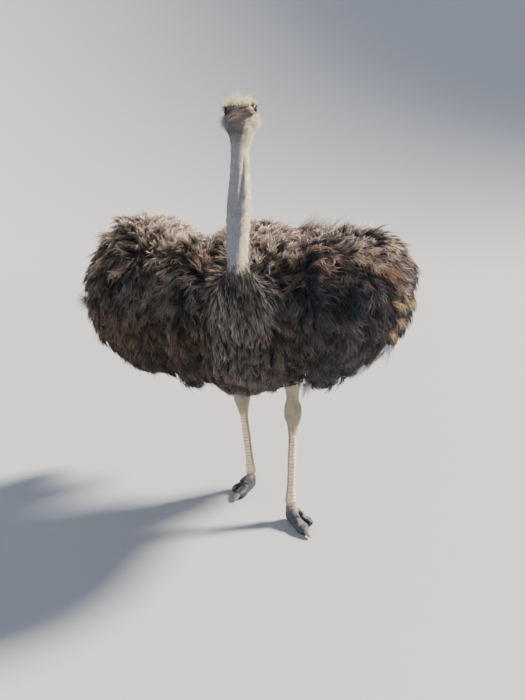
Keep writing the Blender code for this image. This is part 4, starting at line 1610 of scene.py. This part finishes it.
def growWisps(plan):
    rng = np.random.default_rng(plan["seed"])
    made = []
    for place, aim, length, spread, count, wider, (dark, light) in plan["places"]:
        roots = np.array(place) + rng.normal(0.0, spread, (count, 3)) * (1.0, 0.6, 0.5)
        aheads = unit(unit(np.array(aim)) + rng.normal(0.0, 0.20, (count, 3)))
        facing = unit(np.cross(aheads, rng.normal(size=aheads.shape)))
        lengths = length * (0.5 + 0.7 * rng.random(count))
        shade = 0.72 + 0.40 * rng.random((count, 1))
        own = {**plan, "width": plan["width"] * wider}
        tones = (dark * shade, light * shade)
        grown = growTufts(roots, facing, aheads, lengths, own, *tones, rng, plan["stations"])
        made.append((*grown, bodyUnwrap(roots)))
    centres, *rest, places = (np.concatenate(group) for group in zip(*made))
    share = np.linspace(0.0, 1.0, plan["stations"])[None, :, None]
    centres = centres + up * (share**2 * plan["sway"] * rng.normal(0.0, 1.0, (len(centres), 1, 1)))
    centres = withinBox(centres, plan["overhang"])
    return ribbonCoat("pale_wisps", (centres, *rest), places, "pale", [])


bodyTriangles = growBodyCoat(coat)
print("body coat grown,", bodyTriangles, "triangles")


# down on the neck, bristles on the head, crest and lashes

fuzz = {
    "neck": {
        "seed": 17,
        "heights": (1.22, 1.735),
        "spacing": 0.0050,
        "length": 0.011,
        "perTuft": 5,
        "width": 0.0011,
        "rise": 0.28,
        "spread": 0.0022,
    },
    "head": {
        "seed": 18,
        "heights": (1.715, 1.9),
        "spacing": 0.0031,
        "length": 0.0078,
        "perTuft": 5,
        "width": 0.0007,
        "rise": 0.36,
        "spread": 0.0018,
    },
    "crest": {
        "seed": 19,
        "heights": (1.79, 1.9),
        "spacing": 0.0036,
        "perTuft": 5,
        "width": 0.0013,
        "rise": 0.25,
        "spread": 0.0022,
    },
    "lashes": {
        "seed": 20,
        "count": 26,
        "length": 0.0085,
        "perTuft": 3,
        "width": 0.0006,
        "rise": 0.20,
        "spread": 0.0005,
    },
}


def growTufts(roots, facing, ahead, length, plan, dark, light, rng, stations=3):
    # each tuft is a few bristles from one root, bent towards the lie of the down
    count, hairs = len(roots), plan["perTuft"]
    beside = unit(np.cross(ahead, facing))
    share = np.linspace(0.0, 1.0, stations)[None, None, :, None]

    def varied(spread):
        return rng.normal(0.0, spread, (count, hairs, 1, 1))

    offset = varied(plan["spread"] * 0.5)
    drift = varied(0.22)
    own = length[:, None, None, None] * (0.7 + 0.6 * rng.random((count, hairs, 1, 1)))
    tilt = plan["rise"] * (0.6 + 0.8 * rng.random((count, hairs, 1, 1)))
    ahead, facing, beside = ahead[:, None, None], facing[:, None, None], beside[:, None, None]
    out = facing * (tilt * share * (1.25 - 0.5 * share)) + ahead * share * (0.6 + 0.4 * share)
    out = out + beside * drift * share
    centres = roots[:, None, None] - facing * 0.0008 + beside * offset + ahead * offset * 0.7 + out * own
    run = unit(np.gradient(centres, axis=2))
    twist = varied(0.8)
    across = unit(np.cross(run, facing * np.cos(twist) + beside * np.sin(twist)))
    taper = np.linspace(1.0, 0.0, stations) ** 0.7
    shape = (count, hairs, stations)
    widths = np.broadcast_to(plan["width"] * taper, shape)
    colours = mix(dark[:, None, None], light[:, None, None], np.broadcast_to(share[..., 0], shape))
    colours = colours * (1.0 + varied(0.10))
    return flattened(count * hairs, stations, centres, widths, across, colours)


def skinRegion(low, high):
    # a copy of the skin's faces between two heights at the neck and head
    part = bmesh.new()
    part.from_mesh(skin.data)
    gone = []
    for face in part.faces:
        middle = face.calc_center_median()
        if not (low < middle.z < high and middle.y < -0.38 and abs(middle.x - bodyX) < 0.16):
            gone.append(face)
    bmesh.ops.delete(part, geom=gone, context="FACES")
    return meshFrom(part, "region")


def fuzzRoots(plan):
    rng = np.random.default_rng(plan["seed"])
    roots, facing = scattered(skinRegion(*plan["heights"]), plan["spacing"], rng)
    return rng, roots, facing


def growNeckDown(plan):
    rng, roots, facing = fuzzRoots(plan)
    ahead = tangent(np.array((0.0, 0.0, -1.0)) + rng.normal(0.0, 0.12, roots.shape), facing)
    foot = ease(1.318, 1.250, roots[:, 2])
    streak = rng.random(len(roots)) < 0.85 * foot**1.4
    length = plan["length"] * (0.75 + 0.5 * rng.random(len(roots))) * (1.0 + 0.8 * foot + 1.4 * streak)
    cloud = (1.0 + 0.10 * waves(roots, 0.05, 101, 2))[:, None]
    notch = neckCleft(roots, facing)
    # painted sunlight: the side turned to the lamp is painted cream, except in the cleft
    cream = paintedSunlitShare(roots, facing) * (1.0 - notch)
    length = length * (1.0 + 0.7 * cream)
    dark = layered(paint(92, 98, 108), ((78, 81, 88), foot), ((218, 204, 170), cream)) * cloud
    light = layered(paint(154, 161, 172), ((156, 158, 160), foot), ((255, 248, 220), cream)) * cloud
    # painted shade: the down under the head is darker
    under = ease(1.675, 1.735, roots[:, 2]) * (1.0 - cream)
    dark = layered(dark, ((58, 54, 48), under * 0.8))
    light = layered(light, ((92, 87, 79), under * 0.85))
    dark = np.where(streak[:, None], paint(38, 39, 46), dark)
    streaked = mix(paint(70, 68, 70), paint(128, 122, 116), rng.random(len(roots)))
    light = np.where(streak[:, None], streaked, light)
    brownish = mix(paint(150, 146, 150), paint(170, 140, 112), ease(1.56, 1.61, roots[:, 2]))
    dark, light = mix(dark, brownish * 0.55, notch * 0.8), mix(light, brownish, notch * 0.8)
    grown = growTufts(roots, facing, ahead, length, plan, dark, light, rng)
    standsFor = ["neck_lower", "neck_middle", "neck_upper"]
    return ribbonCoat("down_neck", grown, neckUnwrap(roots), "down", standsFor)


def eyeRings(local):
    # the lids' ring that each place is on, round the nearer eye
    rings = []
    for sign in (1.0, -1.0):
        ring, out, _ = lidsAt(local, sign)
        rings.append(np.where(out > 0, ring, 9.0))
    return np.minimum(*rings)


def growHeadDown(plan):
    rng, roots, facing = fuzzRoots(plan)
    local = inHead(roots)
    toMouth, along = toLine(local[:, 1:], mouthLine)
    clear = (toMouth > 0.0050 * ease(1.0, 0.8, along)) | (np.abs(local[:, 0]) < 0.012)
    keep = (eyeRings(local) > 1.35) & clear & (local[:, 1] > -0.054)
    roots, facing, local = roots[keep], facing[keep], local[keep]
    x, y, z = np.abs(local[:, 0]), local[:, 1], local[:, 2]
    fall = -1.1 * ease(0.02, -0.02, z)
    want = turnedFromHead(np.stack((np.zeros(len(x)), np.full(len(x), 0.75), fall), axis=1))
    ahead = tangent(want + rng.normal(0.0, 0.16, roots.shape), facing)
    cheek = bump(z, -0.026, 0.016) * ease(-0.016, 0.010, y) * ease(0.020, 0.032, x)
    full = 0.5 + 0.6 * ease(-0.05, 0.0, y) + np.where(local[:, 0] > 0, 0.9, 1.6) * cheek
    length = plan["length"] * (0.7 + 0.6 * rng.random(len(roots))) * full
    # painted shade: the throat under the head is darker
    throat = ease(-0.02, -0.045, z) * ease(0.02, -0.03, y)
    ahead = unit(ahead + (facing * 1.1 + up * 0.5) * (cheek * (0.5 + rng.random(len(roots))))[:, None])
    # the dark brow line: partly the brow's dark bristles, partly painted shade under the brow ridge
    toBrow, _ = toLine(local[:, 1:], browLine)
    brow = bump(toBrow, 0.0, 0.0075) * ease(0.015, 0.03, x)
    # painted sunlight: cream on the side turned to the lamp, less on the throat and forehead
    cream = paintedSunlitShare(roots, facing) * (1.0 - 0.5 * throat)
    cream = cream * (1.0 - 0.85 * ease(-0.034, -0.044, y) * ease(-0.014, -0.006, z))
    length = length * (1.0 + 0.5 * cream)
    silver = cheek * (1.0 - cream) * 0.8
    dark = layered(
        paint(54, 56, 63),
        ((44, 41, 37), throat),
        ((212, 197, 160), cream),
        ((120, 126, 140), silver),
        ((52, 48, 50), brow * 0.9),
    )
    light = layered(
        paint(98, 101, 108),
        ((70, 66, 60), throat),
        ((255, 244, 210), cream),
        ((206, 212, 224), silver),
        ((92, 88, 90), brow * 0.85),
    )
    cloud = (1.0 + 0.12 * waves(roots, 0.03, 102, 2))[:, None]
    grown = growTufts(roots, facing, ahead, length, plan, dark * cloud, light * cloud, rng)
    return ribbonCoat("down_head", grown, headUnwrap(roots), "down", ["head"])


def growCrest(plan):
    # bristles over the whole crown that fan out to a ragged edge, with one spike off the middle
    rng, roots, facing = fuzzRoots(plan)
    local = inHead(roots)
    edge = 0.012 - 0.014 * ease(0.028, 0.014, np.abs(local[:, 0])) * ease(-0.020, -0.034, local[:, 1])
    edge = edge + 0.003 * waves(local, 0.016, 105, 1)
    keep = (local[:, 2] > edge) & (local[:, 1] > -0.059 + 0.004 * rng.random(len(roots)))
    keep &= (eyeRings(local) > 1.6) & (local[:, 1] < 0.064)
    roots, facing, local = roots[keep], facing[keep], local[keep]
    x, y, z = local[:, 0], local[:, 1], local[:, 2]
    front = ease(-0.030, -0.047, y)
    fan = np.stack((x * 15.0, 0.10 + 5.0 * (y - 0.005) - 1.5 * front, 1.0 - 0.55 * front), axis=1)
    ahead = unit(turnedFromHead(unit(fan)) + rng.normal(0.0, 0.15, roots.shape))
    lean = ahead @ fromHead[:3, :3]
    spike = bump(x, -0.005, 0.0070) * bump(y, -0.004, 0.022)
    beyond = np.maximum(np.abs(x + 0.5 * lean[:, 0] * 0.02) - 0.030, 0.0)
    ceiling = 0.043 + 0.034 * spike - 1.8 * beyond**1.25
    ceiling += 0.006 * waves(local, 0.022, 104, 2)
    ceiling -= 0.9 * np.maximum(-0.012 - y, 0.0) ** 1.1 + 0.5 * np.maximum(y - 0.030, 0.0)
    room = np.clip(ceiling - z, 0.009 + 0.004 * front, 0.046)
    ragged = 0.62 + 0.62 * rng.random(len(roots)) ** 1.6
    ragged = np.where(spike > 0.4, np.maximum(ragged, 0.85), ragged)
    length = np.minimum(room * ragged / np.maximum(lean[:, 2], 0.50), 0.050)
    foot = ease(0.016, 0.008, z) * (1.0 - front)
    dark = layered(paint(228, 212, 182), ((160, 134, 108), ease(0.0, 0.05, y)), ((120, 106, 92), foot * 0.6))
    tan = np.maximum(ease(0.012, 0.040, -x) * ease(0.026, 0.040, z + length) * 0.8, 0.9 * spike)
    light = layered(paint(255, 247, 220), ((244, 194, 154), tan))
    across = unit(np.cross(ahead, (0.31, 0.2, 0.9)))
    grown = growTufts(roots, across, ahead, length, plan, dark, light, rng, 4)
    return ribbonCoat("crest_bristles", grown, headUnwrap(roots), "crest", ["crest"])


def growLashes(plan):
    rng = np.random.default_rng(plan["seed"])
    roots, aheads = [], []
    for sign in (1.0, -1.0):
        middle, gaze, ahead, above = eyeAxes(sign)
        for turn in np.linspace(radians(15), radians(165), plan["count"]):
            aim = ahead * cos(turn) * head["opening"][0] + above * sin(turn) * head["opening"][1]
            aim = aim / lidRing(aim @ ahead, aim @ above)
            depth = np.sqrt(max(head["lidHeight"] ** 2 - aim @ aim, 1e-6))
            roots.append(aim * 1.03 + gaze * depth + middle)
            aheads.append(unit(gaze * 0.8 + unit(aim) * 0.75 - above * 0.15))
    roots, aheads = np.array(roots), np.array(aheads)
    roots, aheads = outOfHead(roots), turnedFromHead(aheads)
    facing = unit(np.cross(aheads, rng.normal(size=aheads.shape)))
    length = plan["length"] * (0.8 + 0.4 * rng.random(len(roots)))
    tone = np.tile(paint(26, 20, 18), (len(roots), 1))
    grown = growTufts(roots, facing, aheads, length, plan, tone, tone, rng, 4)
    return ribbonCoat("lashes", grown, headUnwrap(roots), "crest", [])


print("neck down grown,", growNeckDown(fuzz["neck"]), "triangles")
print("head down grown,", growHeadDown(fuzz["head"]), "triangles")
print("crest grown,", growCrest(fuzz["crest"]), "triangles")
print("wisps grown,", growWisps(wisps), "triangles")
print("lashes grown,", growLashes(fuzz["lashes"]), "triangles")

bpy.data.objects.remove(outer)
